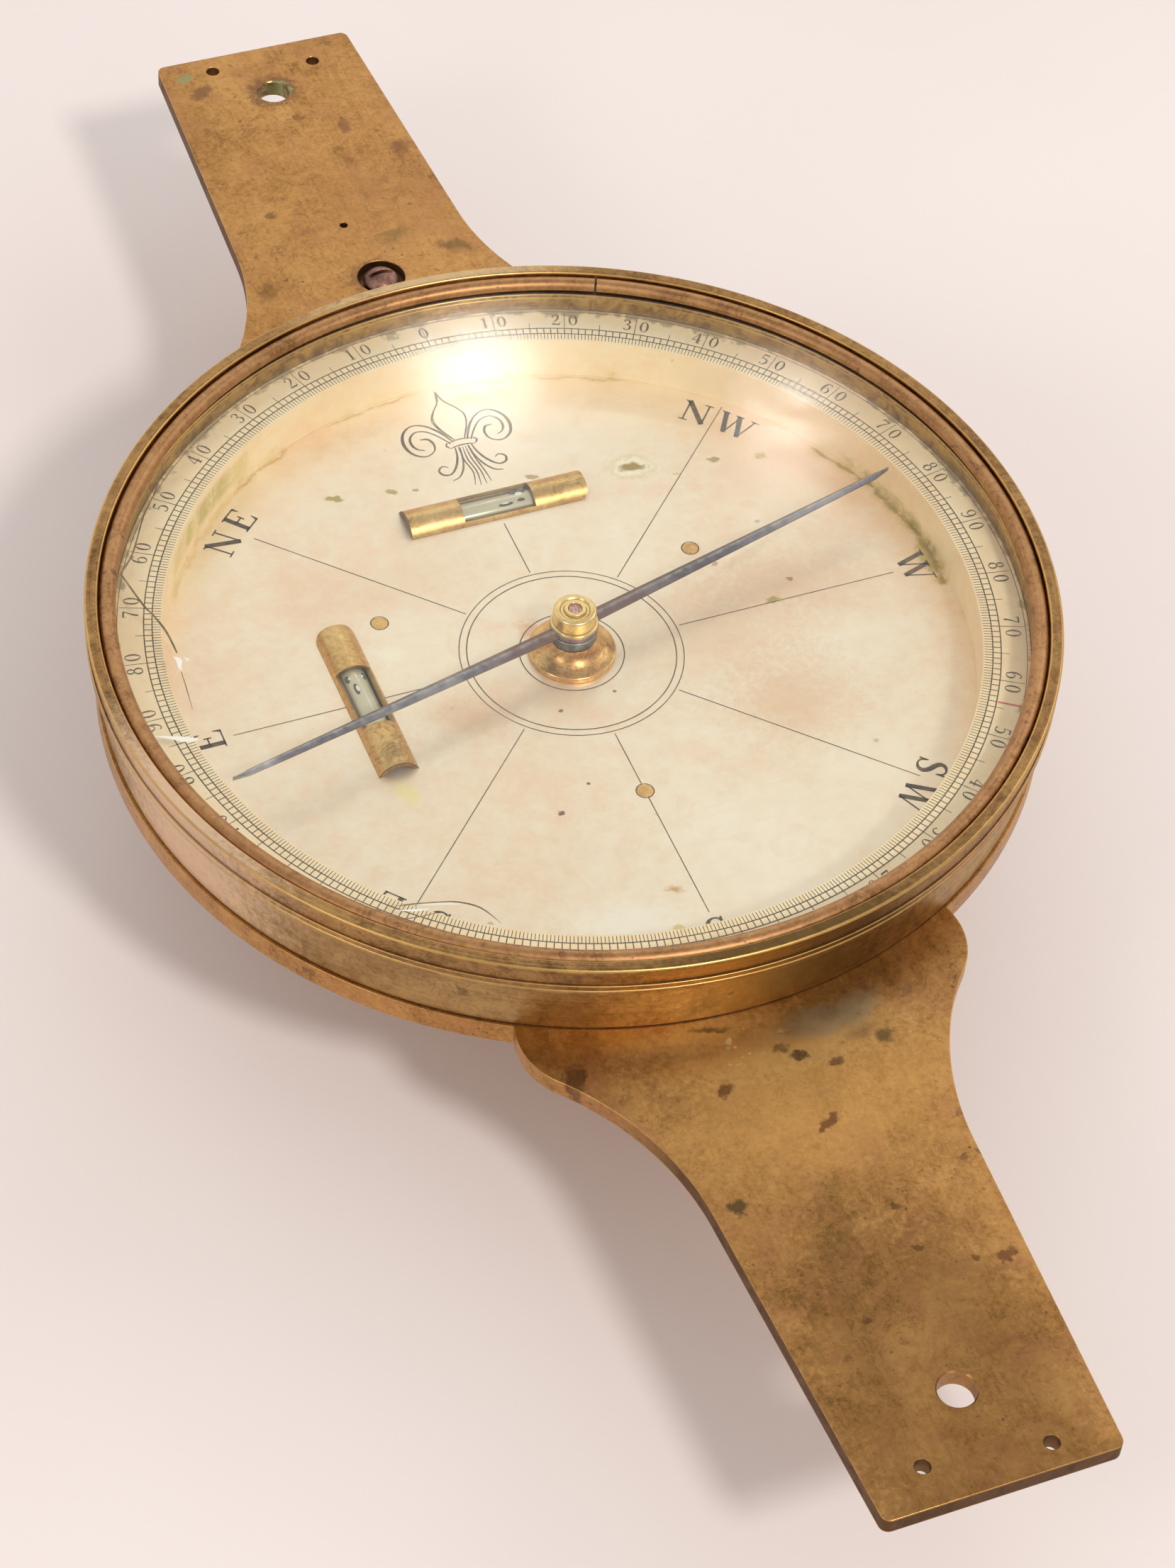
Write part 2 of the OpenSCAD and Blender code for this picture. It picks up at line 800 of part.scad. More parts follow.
// The needle: its outline from above, cut from a strip that rises from the eye to both points
module needle() {
    neck = needle_r - needle_point;
    eye_r = eye_d / 2;
    tall = needle_t + needle_bend + 2 * through;
    color(steel)
    translate([0, 0, z_needle])
        rotate([0, 0, needle_rest])
            difference() {
                intersection() {
                    translate([0, eye_d, 0])
                        rotate([90, 0, 0])
                            linear_extrude(2 * eye_d)
                                polygon([
                                    [-needle_r, needle_bend], [-eye_r, 0], [eye_r, 0], [needle_r, needle_bend],
                                    [needle_r, needle_bend + needle_t], [eye_r, needle_t], [-eye_r, needle_t],
                                    [-needle_r, needle_bend + needle_t]
                                ]);
                    translate([0, 0, -through])
                        union() {
                            linear_extrude(tall)
                                polygon([
                                    [0, needle_mid_w / 2], [neck, needle_tip_w / 2], [needle_r, 0],
                                    [neck, -needle_tip_w / 2], [0, -needle_mid_w / 2], [-neck, -needle_tip_w / 2],
                                    [-needle_r, 0], [-neck, needle_tip_w / 2]
                                ]);
                            cylinder(h = tall, d = eye_d);
                        }
                }
                translate([0, 0, -through])
                    cylinder(h = needle_t + 2 * through, r = cap_spigot_d / 2 + set_fit);
            }
}

// The cap: a drum on the needle's eye, with a spigot through the eye down to the collar
module needle_cap() {
    bore_r = cap_bore_d / 2;
    jewel_r = jewel_d / 2 + set_fit;
    z_seat = z_cap_top - jewel_h - set_fit;
    z_drum = z_needle + needle_t;
    color(bright_brass)
    rotate_extrude()
        polygon([
            [bore_r, z_cap_foot], [cap_spigot_d / 2, z_cap_foot], [cap_spigot_d / 2, z_drum],
            [cap_d / 2 - cap_edge, z_drum], [cap_d / 2, z_drum + cap_edge], [cap_d / 2, z_drum + cap_band],
            [cap_top_d / 2, z_drum + cap_band + cap_step], [cap_top_d / 2, z_cap_top - cap_crown],
            [jewel_r + cap_lip, z_cap_top], [jewel_r, z_cap_top], [jewel_r, z_seat], [bore_r, z_seat]
        ]);
}

module cap_jewel() {
    jewel_r = jewel_d / 2;
    z_foot = z_cap_top - jewel_h;
    color(ruby)
    rotate_extrude()
        polygon([
            [0, z_foot + jewel_cup], [jewel_r * jewel_rim, z_foot], [jewel_r, z_foot],
            [jewel_r, z_cap_top - jewel_edge], [jewel_r - jewel_edge, z_cap_top], [0, z_cap_top]
        ]);
}

module needle_collar() {
    color(steel)
    rotate_extrude()
        polygon([
            [cap_bore_d / 2, z_collar], [collar_d / 2 - collar_edge, z_collar], [collar_d / 2, z_collar + collar_edge],
            [collar_d / 2, z_cap_foot], [cap_bore_d / 2, z_cap_foot]
        ]);
}

// The lifter's bell: a wide foot over the push pins, drawn in to a neck under the needle's collar
module lifter_sleeve() {
    foot_r = sleeve_foot_d / 2;
    top_r = sleeve_top_d / 2;
    z_foot = z_dial + play;
    z_head = z_collar - 2 * play;
    hollow = foot_r - top_r;
    color(bright_brass)
    difference() {
        rotate_extrude()
            difference() {
                translate([sleeve_bore_r, z_foot])
                    square([foot_r - sleeve_bore_r, z_head - z_foot]);
                translate([foot_r, z_foot + sleeve_rim + hollow])
                    circle(r = hollow);
                translate([top_r, z_foot + sleeve_rim + hollow])
                    square([foot_r, z_head]);
            }
        translate([0, 0, z_foot - through])
            push_places()
                cylinder(h = push_bite + set_fit + through, r = push_d / 2 + set_fit);
    }
}

module push_pins() {
    z_foot = z_lever_top + play;
    color(steel)
    translate([0, 0, z_foot])
        push_places()
            cylinder(h = z_dial + play + push_bite - z_foot, r = push_d / 2);
}

module lifter_lever() {
    ring_r = lever_ring_d / 2;
    eye_r = push_pcd / 2 - push_d;
    color(brass)
    difference() {
        union() {
            translate([0, 0, z_lever])
                linear_extrude(lever_t)
                    union() {
                        circle(r = ring_r);
                        translate([-lever_w / 2, 0])
                            square([lever_w, lift_screw_y]);
                        translate([0, lift_screw_y])
                            circle(d = lever_w);
                    }
            translate([-lever_w / 2, fulcrum_y, z_pin])
                rotate([0, 90, 0])
                    cylinder(h = lever_w, d = barrel_d);
        }
        translate([0, 0, z_lever - through])
            cylinder(h = lever_t + 2 * through, r = eye_r);
        translate([-lever_w / 2 - through, fulcrum_y, z_pin])
            rotate([0, 90, 0])
                cylinder(h = lever_w + 2 * through, r = fulcrum_pin_d / 2 + run_fit);
    }
}

module lever_pin() {
    half = bearing_x + ear_t;
    color(steel)
    translate([-half, fulcrum_y, z_pin])
        rotate([0, 90, 0])
            cylinder(h = 2 * half, d = fulcrum_pin_d);
}

// Two bearings, each a round-ended ear for the pin on a foot that is screwed to the plate
module lever_bearings() {
    ear_r = bearing_w / 2;
    color(brass)
    for (side = [0, 1])
        mirror([side, 0, 0])
            translate([bearing_x, fulcrum_y, 0])
                difference() {
                    union() {
                        translate([0, -ear_r, z_pin])
                            cube([ear_t, bearing_w, z_under - z_pin]);
                        translate([0, 0, z_pin])
                            rotate([0, 90, 0])
                                cylinder(h = ear_t, r = ear_r);
                        translate([0, -ear_r, z_under - foot_t])
                            cube([ear_t + foot_len, bearing_w, foot_t]);
                    }
                    translate([-through, 0, z_pin])
                        rotate([0, 90, 0])
                            cylinder(h = ear_t + 2 * through, r = fulcrum_pin_d / 2 + set_fit);
                    translate([0, -bearing_w, z_under])
                        cube([ear_t + foot_len, 2 * bearing_w, bearing_w]);
                    translate([ear_t + foot_len / 2, 0, z_under - foot_t - through])
                        cylinder(h = foot_t + 2 * through, r = bearing_screw_d / 2 + set_fit);
                }
}

module bearing_screws() {
    head_d = bearing_screw_d * head_ratio;
    head_h = bearing_screw_d * head_share;
    color(steel)
    bearing_places()
        translate([0, 0, -foot_t]) {
            cylinder(h = foot_t + bearing_screw_bite, d = bearing_screw_d);
            translate([0, 0, -head_h])
                cylinder(h = head_h, d = head_d);
        }
}

module lifter_screw() {
    head_r = lift_head_d / 2;
    dome_r = (head_r * head_r + lift_head_h * lift_head_h) / (2 * lift_head_h);
    z_head = z_top - lift_well + lift + play;
    z_tip = z_lever_top + play;
    color(brown_steel)
    translate([lift_screw_x, lift_screw_y, 0])
        difference() {
            union() {
                translate([0, 0, z_tip])
                    cylinder(h = z_head - z_tip + eps, d = lift_screw_d);
                translate([0, 0, z_head])
                    intersection() {
                        cylinder(h = lift_head_h, r = head_r);
                        translate([0, 0, lift_head_h - dome_r])
                            sphere(r = dome_r);
                    }
            }
            translate([-lift_head_d, -lift_slot / 2, z_head + lift_head_h / 2])
                cube([2 * lift_head_d, lift_slot, lift_head_h]);
        }
}

// The round flange between plate and socket, with a pocket and a slot for the lever in its top
module socket_flange() {
    color(brass)
    difference() {
        rotate_extrude()
            union() {
                translate([0, z_flange])
                    square([flange_d / 2 - flange_edge_r, flange_t]);
                translate([0, z_flange + flange_edge_r])
                    square([flange_d / 2, flange_t - flange_edge_r]);
                translate([flange_d / 2 - flange_edge_r, z_flange + flange_edge_r])
                    circle(r = flange_edge_r, $fn = 32);
            }
        translate([0, 0, z_under - slot_depth])
            cylinder(h = slot_depth + through, r = lever_ring_d / 2 + 2 * air);
        translate([-lever_w / 2 - air, 0, z_under - slot_depth])
            cube([lever_w + 2 * air, flange_d, slot_depth + through]);
        translate([0, 0, z_flange - through])
            cylinder(h = spigot_h + set_fit + through, r = spigot_r + set_fit);
        screws_of_flange()
            flush_hole(flange_screw_d, flange_t + through);
    }
}

// The socket: a turned, slightly waisted tube with a bead at its foot and a boss for the clamp screw
module staff_socket() {
    bead_r = foot_bead / 2;
    color(brass)
    difference() {
        union() {
            rotate_extrude()
                union() {
                    polygon([
                        [0, 0], [foot_r - bead_r, 0], [foot_r - bead_r, foot_bead],
                        [neck_r + swell, foot_bead + bead_r], [neck_r, z_flange - 2 * collar_h],
                        [collar_r, z_flange - collar_h], [collar_r, z_flange], [spigot_r, z_flange],
                        [spigot_r, z_flange + spigot_h], [0, z_flange + spigot_h]
                    ]);
                    translate([foot_r - bead_r, bead_r])
                        circle(r = bead_r, $fn = 32);
                }
            translate([0, 0, clamp_z])
                rotate([0, 90, 0])
                    cylinder(h = clamp_boss_x, d = clamp_boss_d);
        }
        translate([0, 0, -through])
            cylinder(h = z_flange - staff_cap + through, d = staff_d);
        translate([0, 0, clamp_z])
            rotate([0, 90, 0])
                cylinder(h = clamp_boss_x + through, r = clamp_d / 2 + run_fit);
    }
}

module flange_screws() {
    color(steel)
    screws_of_flange()
        flush_screw(flange_screw_d, flange_t + flange_screw_bite);
}

module clamp_screw() {
    color(bright_brass)
    translate([0, 0, clamp_z])
        rotate([0, 90, 0])
            difference() {
                union() {
                    translate([0, 0, staff_d / 2 + air])
                        cylinder(h = clamp_head_x - staff_d / 2 - air + eps, d = clamp_d);
                    translate([0, 0, clamp_head_x])
                        cylinder(h = clamp_head_len, d = clamp_head_d);
                }
                translate([0, 0, clamp_head_x - through])
                    around(clamp_flute_n, clamp_head_d / 2 + clamp_flute_r / 3)
                        cylinder(h = clamp_head_len + 2 * through, r = clamp_flute_r, $fn = 24);
            }
}

main_plate();
compass_box();
box_screws();
dial_plate();
dial_rivets();
graduated_ring();
ring_screws();
level_cover_ew();
level_cover_ns();
level_vial_ew();
level_vial_ns();
bezel();
glass();
spring_ring();
pivot_post();
pivot_pin();
needle();
needle_cap();
cap_jewel();
needle_collar();
lifter_sleeve();
push_pins();
lifter_lever();
lever_pin();
lever_bearings();
bearing_screws();
lifter_screw();
socket_flange();
staff_socket();
flange_screws();
clamp_screw();
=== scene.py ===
"""Looks of a plain surveyor's compass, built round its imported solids.

Sizes are in millimetres in the part's own frame: +Z up, +Y along the north arm, +X to the W of the dial,
origin at the middle of the staff socket's foot. Meshes are written in metres.
"""

import json
import logging
import math
from dataclasses import dataclass, field
from enum import Enum
from typing import Any, Callable, Sequence

import bmesh
import bpy
import numpy as np
from mathutils import Matrix, Quaternion, Vector
from mathutils.geometry import delaunay_2d_cdt

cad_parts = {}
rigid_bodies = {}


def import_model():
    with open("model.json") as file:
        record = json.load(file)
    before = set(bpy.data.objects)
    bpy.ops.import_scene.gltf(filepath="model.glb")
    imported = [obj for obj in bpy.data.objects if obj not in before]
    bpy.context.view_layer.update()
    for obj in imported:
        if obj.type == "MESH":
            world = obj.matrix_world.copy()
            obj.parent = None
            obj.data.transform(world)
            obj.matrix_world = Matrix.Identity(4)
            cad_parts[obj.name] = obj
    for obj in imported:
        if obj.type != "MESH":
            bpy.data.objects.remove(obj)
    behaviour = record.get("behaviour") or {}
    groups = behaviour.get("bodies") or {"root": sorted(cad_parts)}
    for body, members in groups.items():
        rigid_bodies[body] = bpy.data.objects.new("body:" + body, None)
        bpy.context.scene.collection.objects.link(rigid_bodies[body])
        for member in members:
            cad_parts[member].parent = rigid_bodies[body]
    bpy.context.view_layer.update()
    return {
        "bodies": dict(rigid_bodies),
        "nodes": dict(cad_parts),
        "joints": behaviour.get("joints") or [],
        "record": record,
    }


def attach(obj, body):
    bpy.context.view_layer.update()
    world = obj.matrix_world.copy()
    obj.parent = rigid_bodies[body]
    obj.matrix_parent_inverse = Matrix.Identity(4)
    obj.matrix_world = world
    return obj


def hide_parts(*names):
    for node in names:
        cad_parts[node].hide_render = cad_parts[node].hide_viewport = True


LOG = logging.getLogger("compass")
MM = 0.001
PHOTO_HEIGHT = 2212
BOX_LINING = 75.15
# Distance over which the painted shade on the arms' sides grows.
SIDE_SHADE_FADE = 24.0
SIDE_ROWS = (5, 6)
LEVEL_OFF = 36.0

Colour = tuple[float, float, float, float]
Flat = tuple[float, float]
Knot = tuple[float, float, float]
Corner = tuple[float, float, float]


def srgb(red: float, green: float, blue: float) -> Colour:
    """Turns a screen colour into the linear one that shaders take.

    Args:
        red: Red from 0 to 255.
        green: Green from 0 to 255.
        blue: Blue from 0 to 255.

    Returns:
        The linear colour with full alpha.
    """
    parts = []
    for part in (red, green, blue):
        share = part / 255
        parts.append(share / 12.92 if share <= 0.04045 else ((share + 0.055) / 1.055) ** 2.4)
    return (parts[0], parts[1], parts[2], 1.0)


class Body(Enum):
    """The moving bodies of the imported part."""

    FRAME = "frame"
    LIFTER_SCREW = "lifter_screw"
    LIFTER_LEVER = "lifter_lever"
    LIFTER = "lifter"
    NEEDLE = "needle"
    CLAMP_SCREW = "clamp_screw"


class Slot(Enum):
    """The record's material slots."""

    PATINATED_BRASS = "patinated_brass"
    BRIGHT_BRASS = "bright_brass"
    SILVERED_BRASS = "silvered_brass"
    STEEL = "steel"
    BLUED_STEEL = "blued_steel"
    BROWNED_STEEL = "browned_steel"
    WINDOW_GLASS = "window_glass"
    VIAL_GLASS = "vial_glass"
    JEWEL = "jewel"


class Grain(Enum):
    """The way in which a metal was finished."""

    ALONG = "along"
    TURNED = "turned"
    CAST = "cast"


@dataclass(frozen=True)
class Heights:
    """Heights of the faces that several pieces share."""

    under: float = 36.0
    arm_under: float = 37.1
    top: float = 40.3
    dial: float = 41.55
    collar: float = 45.35
    needle: float = 47.75
    cap_foot: float = 48.65
    limb: float = 49.75
    joint: float = 51.5
    cap_top: float = 52.0
    glass: float = 53.2
    glass_top: float = 54.8
    bezel_top: float = 56.3


@dataclass(frozen=True)
class Radii:
    """Radii that several pieces share."""

    disc: float = 78.2
    box: float = 77.2
    box_inside: float = 75.0
    lip: float = 79.3
    bezel: float = 79.4
    glass: float = 77.2
    limb_inside: float = 67.0
    limb_outside: float = 74.98
    needle: float = 65.7
    post: float = 2.6
    box_screws: float = 76.1
    ring_screws: float = 68.3
    rivets: float = 32.2
    push_pins: float = 5.0


Z = Heights()
R = Radii()


def on_circle(radius: float, degrees: float) -> Flat:
    """Gives the point of a circle about the axis at an angle."""
    turn = math.radians(degrees)
    return (radius * math.cos(turn), radius * math.sin(turn))


def operator(operation: str, reflected: bool = False) -> Callable[["Value", Any], "Value"]:
    """Makes an operator of Value that adds one Math node.

    Args:
        operation: The Math node's operation.
        reflected: Whether the value is the second number.

    Returns:
        The operator's method.
    """
    def apply(value: "Value", other: Any) -> "Value":
        """Adds the node."""
        return value.math(operation, *((other, value) if reflected else (value, other)))

    return apply


class Value:
    """A node's socket in Python sums: each operator adds one Math node to the same tree."""

    def __init__(self, nodes: "Nodes", socket: bpy.types.NodeSocket) -> None:
        """Keeps the tree's builder and the socket."""
        self.nodes = nodes
        self.socket = socket

    def math(self, operation: str, first: Any, second: Any = 0.0) -> "Value":
        """Adds a Math node.

        Args:
            operation: The Math node's operation.
            first: The first number or socket.
            second: The second number or socket.

        Returns:
            The node's result.
        """
        return self.nodes.add("ShaderNodeMath", {"operation": operation}, {0: first, 1: second})

    __add__ = operator("ADD")
    __radd__ = operator("ADD", True)
    __sub__ = operator("SUBTRACT")
    __rsub__ = operator("SUBTRACT", True)
    __mul__ = operator("MULTIPLY")
    __rmul__ = operator("MULTIPLY", True)
    __truediv__ = operator("DIVIDE")
    __pow__ = operator("POWER")


class Nodes:
    """Builds the nodes of one tree."""

    def __init__(self, tree: bpy.types.NodeTree) -> None:
        """Keeps the tree."""
        self.tree = tree

    @staticmethod
    def find(sockets: Any, key: int | str) -> bpy.types.NodeSocket:
        """Finds a socket by number, identifier or name.

        Args:
            sockets: A node's inputs or outputs.
            key: The socket's number, identifier or name.

        Returns:
            The socket.
        """
        if isinstance(key, int):
            return sockets[key]
        for socket in sockets:
            if socket.identifier == key:
                return socket
        return sockets[key]

    def add(self, kind: str, settings: dict[str, Any] | None = None,
            inputs: dict[int | str, Any] | None = None, out: int | str = 0) -> Value:
        """Adds one node.

        Args:
            kind: The node's type.
            settings: Its settings, set first; "stops" gives a ramp's stops.
            inputs: Numbers, colours or sockets for its inputs.
            out: The output that the caller wants.

        Returns:
            That output.
        """
        node = self.tree.nodes.new(kind)
        for key, value in (settings or {}).items():
            if key == "stops":
                self.set_stops(node.color_ramp, value)
            else:
                setattr(node, key, value)
        for key, value in (inputs or {}).items():
            socket = self.find(node.inputs, key)
            if isinstance(value, Value):
                self.tree.links.new(value.socket, socket)
            else:
                socket.default_value = value
        return Value(self, self.find(node.outputs, out))

    @staticmethod
    def set_stops(ramp: bpy.types.ColorRamp, stops: Sequence[tuple[float, Colour]]) -> None:
        """Gives a colour ramp its stops.

        Args:
            ramp: The ramp.
            stops: Positions and colours, in rising order.
        """
        while len(ramp.elements) < len(stops):
            ramp.elements.new(1.0)
        for element, (position, colour) in zip(ramp.elements, stops):
            element.position = position
            element.color = colour


@dataclass(frozen=True)
class Mark:
    """One stain, worn place, fleck or patch of painted light or shade on a surface, seen from above."""

    x: float
    y: float
    wide: float
    long: float
    colour: Colour
    strength: float = 0.8
    turn: float = 0.0
    soft: float = 0.55


class Paint(Nodes):
    """The shader nodes of one material, on Object coordinates in millimetres."""

    def __init__(self, name: str) -> None:
        """Starts a material with an empty tree.

        Args:
            name: The material's name.
        """
        self.material = bpy.data.materials.new(name)
        self.material.use_nodes = True
        super().__init__(self.material.node_tree)
        self.tree.nodes.clear()
        coords = self.add("ShaderNodeTexCoord", out="Object")
        self.place = self.add("ShaderNodeVectorMath", {"operation": "SCALE"}, {0: coords, "Scale": 1 / MM})

    def stretch(self, scale: tuple[float, float, float]) -> Value:
        """Scales the coordinates unevenly, for streaks."""
        return self.add("ShaderNodeVectorMath", {"operation": "MULTIPLY"}, {0: self.place, 1: scale})

    def noise(self, scale: float, detail: float = 4.0, rough: float = 0.55, warp: float = 0.0,
              at: Value | None = None) -> Value:
        """Adds a noise texture.

        Args:
            scale: Waves in a millimetre.
            detail: Octaves.
            rough: Share of the finer octaves.
            warp: Distortion.
            at: Coordinates in place of the piece's own.

        Returns:
            The noise, about 0.25 to 0.75.
        """
        return self.add("ShaderNodeTexNoise", None, {
            "Vector": at or self.place, "Scale": scale, "Detail": detail, "Roughness": rough,
            "Distortion": warp})

    def cells(self, scale: float) -> Value:
        """Adds the distance to scattered points, for pits."""
        return self.add("ShaderNodeTexVoronoi", None, {"Vector": self.place, "Scale": scale}, "Distance")

    def step(self, value: Value, low: float, high: float) -> Value:
        """Takes a value smoothly from 0 at low to 1 at high."""
        return self.add("ShaderNodeMapRange", {"interpolation_type": "SMOOTHSTEP"},
                        {0: value, 1: low, 2: high})

    def mix(self, share: Any, first: Any, second: Any) -> Value:
        """Mixes two colours.

        Args:
            share: Share of the second colour.
            first: The first colour.
            second: The second colour.

        Returns:
            The mixed colour.
        """
        return self.add("ShaderNodeMix", {"data_type": "RGBA"}, {
            "Factor_Float": share, "A_Color": first, "B_Color": second}, "Result_Color")

    def ramp(self, value: Value, *stops: tuple[float, Colour]) -> Value:
        """Colours a value by a ramp's stops."""
        return self.add("ShaderNodeValToRGB", {"stops": stops}, {0: value}, "Color")

    def polar(self) -> tuple[Value, Value, Value]:
        """Gives the place about the upright axis.

        Returns:
            The distance from the axis, the angle in radians and the height.
        """
        parts = self.add("ShaderNodeSeparateXYZ", None, {0: self.place})
        x, y, z = (Value(self, socket) for socket in parts.socket.node.outputs)
        level = self.stretch((1.0, 1.0, 0.0))
        radius = self.add("ShaderNodeVectorMath", {"operation": "LENGTH"}, {0: level}, "Value")
        return radius, x.math("ARCTAN2", y, x), z

    def vector(self, x: Any, y: Any, z: Any) -> Value:
        """Joins three values to a vector."""
        return self.add("ShaderNodeCombineXYZ", None, {0: x, 1: y, 2: z})

    def wear(self) -> Value:
        """Reads how worn an edge is from the mesh."""
        return self.add("ShaderNodeAttribute", {"attribute_name": "wear"}, None, "Fac")

    def bump(self, height: Value, strength: float, depth: float) -> Value:
        """Turns a height into a normal.

        Args:
            height: Height from 0 to 1.
            strength: Strength of the bump.
            depth: Depth in millimetres for a height of 1.

        Returns:
            The normal.
        """
        return self.add("ShaderNodeBump", None, {
            "Strength": strength, "Distance": depth * MM, "Height": height})

    def ragged(self, scale: float, amount: float) -> Value:
        """Shakes the coordinates, so that marks get ragged edges.

        Args:
            scale: Waves of the shaking in a millimetre.
            amount: Its reach in millimetres.

        Returns:
            The shaken coordinates.
        """
        shake = self.add("ShaderNodeTexNoise", None, {
            "Vector": self.place, "Scale": scale, "Detail": 3.0, "Roughness": 0.6}, "Color")
        centred = self.add("ShaderNodeVectorMath", {"operation": "SUBTRACT"}, {0: shake, 1: (0.5, 0.5, 0.5)})
        moved = self.add("ShaderNodeVectorMath", {"operation": "SCALE"}, {0: centred, "Scale": amount})
        return self.add("ShaderNodeVectorMath", {"operation": "ADD"}, {0: self.place, 1: moved})

    def marks(self, base: Value, marks: Sequence[Mark], at: Value, share: Any = 1.0) -> Value:
        """Lays marks over a colour.

        Args:
            base: The colour below.
            marks: The marks, in order.
            at: Shaken coordinates.
            share: Factor on all of them.

        Returns:
            The colour with its marks.
        """
        uneven = (self.noise(0.9, 4.0, 0.7) - 0.5) * 1.1
        for mark in marks:
            moved = self.add("ShaderNodeMapping", {"vector_type": "TEXTURE"}, {
                "Vector": at, "Location": (mark.x, mark.y, 0.0),
                "Rotation": (0.0, 0.0, math.radians(mark.turn)), "Scale": (mark.wide, mark.long, 1e6)})
            away = self.add("ShaderNodeVectorMath", {"operation": "LENGTH"}, {0: moved}, "Value")
            amount = (1 - self.step(away + uneven, mark.soft, 1.0)) * mark.strength
            base = self.mix(amount * share, base, mark.colour)
        return base

    def surface(self, sockets: dict[str, Any]) -> bpy.types.Material:
        """Ends the tree in a Principled surface with the given inputs and returns the material."""
        return self.end(self.add("ShaderNodeBsdfPrincipled", None, sockets))

    def end(self, shader: Value) -> bpy.types.Material:
        """Links a shader to the output.

        Args:
            shader: The shader.

        Returns:
            The material.
        """
        node = self.tree.nodes.new("ShaderNodeOutputMaterial")
        self.tree.links.new(shader.socket, node.inputs["Surface"])
        return self.material


@dataclass(frozen=True)
class Brass:
    """Old brass: golden where it was handled, brown elsewhere, with spots, pits, grime, painted shade and
    worn edges.
    """

    name: str
    gold: Colour = srgb(197, 148, 89)
    brown: Colour = srgb(177, 129, 74)
    dark: Colour = srgb(131, 96, 53)
    spot: Colour = srgb(78, 55, 40)
    worn: Colour = srgb(220, 176, 104)
    rose: Colour = srgb(180, 126, 84)
    lining: Colour = srgb(202, 174, 110)
    inside: float = 0.0
    grain: Grain = Grain.ALONG
    cloud: float = 0.045
    patina: float = 0.5
    blush: float = 0.5
    spots: float = 0.6
    pits: float = 0.95
    rough: float = 0.36
    edges: float = 0.5
    marks: tuple[Mark, ...] = ()

    def streaks(self, paint: Paint) -> Value:
        """Makes the fine lines that the tool left.

        Args:
            paint: The material's nodes.

        Returns:
            The lines' height.
        """
        if self.grain is Grain.TURNED:
            radius, angle, height = paint.polar()
            around = paint.vector(radius * 3.0, angle * 1.3, height * 3.0)
            return paint.noise(1.0, 3.0, 0.6, at=around)
        if self.grain is Grain.ALONG:
            return paint.noise(1.0, 3.0, 0.6, at=paint.stretch((2.4, 0.02, 2.4)))
        return paint.noise(1.1, 3.0, 0.6)

    def make(self) -> bpy.types.Material:
        """Builds the material.

        Returns:
            The material.
        """
        paint = Paint(self.name)
        cloud = paint.noise(self.cloud, 5.0, 0.62, 0.7)
        fine = paint.noise(self.cloud * 6, 5.0, 0.66, 0.9)
        grit = paint.noise(1.5, 4.0, 0.72)
        streak = self.streaks(paint)
        lines = 0.18 if self.grain is Grain.TURNED else 0.09
        tone = cloud * 0.34 + fine * 0.28 + grit * (0.38 - lines) + streak * lines
        tone = tone + (0.5 - self.patina) * 0.22
        base = paint.ramp(tone, (0.38, self.dark), (0.46, self.brown), (0.54, self.gold), (0.74, self.worn))
        blush = paint.step(paint.noise(0.11, 3.0, 0.6, 0.8), 0.5, 0.66) * self.blush
        base = paint.mix(blush, base, self.rose)
        gate = paint.step(paint.noise(0.05, 2.0, 0.5), 0.44, 0.6)
        drift = paint.noise(0.17, 5.0, 0.6, 1.2) - 0.55
        tide = 1 - paint.step(drift.math("ABSOLUTE", drift), 0.004, 0.02)
        base = paint.mix(tide * (gate * 0.4 + 0.1), base, self.dark)
        spots = paint.step(paint.noise(0.24, 2.5, 0.5, 0.4), 0.655, 0.7) * gate * self.spots
        dots = (1 - paint.step(paint.cells(0.55), 0.05, 0.2)) * paint.step(paint.noise(0.33, 2.0), 0.52, 0.6)
        pits = ((1 - paint.step(paint.cells(0.42), 0.05, 0.15)) * gate + dots * 0.7) * self.pits
        base = paint.mix(spots * 0.85, base, self.spot)
        base = paint.mix(pits * 0.8, base, self.spot)
        if self.marks:
            base = paint.marks(base, self.marks, paint.ragged(0.35, 3.4))
        if self.inside:
            lined = 1 - paint.step(paint.polar()[0], self.inside, self.inside + 0.2)
            skin = paint.mix(paint.step(fine, 0.32, 0.62), self.brown, self.lining)
            base = paint.mix(lined * 0.9, base, skin)
        wear = paint.wear()
        # Negative wear darkens: grime in corners and holes, and painted shade on the arms' sides and inside
        # the level covers.
        grime = paint.step(wear * -1.0, 0.05, 0.8) * (fine * 0.7 + 0.5)
        base = paint.mix(grime, base, self.spot)
        edge = paint.step(wear * (fine * 1.2 + 0.35), 0.25, 0.75)
        base = paint.mix(edge * self.edges, base, self.worn)
        rough = cloud * 0.22 + fine * 0.16 + (self.rough - 0.18) + (spots + grime) * 0.25 - edge * 0.08
        height = streak * 0.4 + fine * 0.3 + grit * 0.25 - pits * 0.6 - spots * 0.3
        return paint.surface({
            "Base Color": base, "Metallic": 1 - spots * 0.55 - pits * 0.5, "Roughness": rough,
            "Normal": paint.bump(height, 0.32, 0.08)})


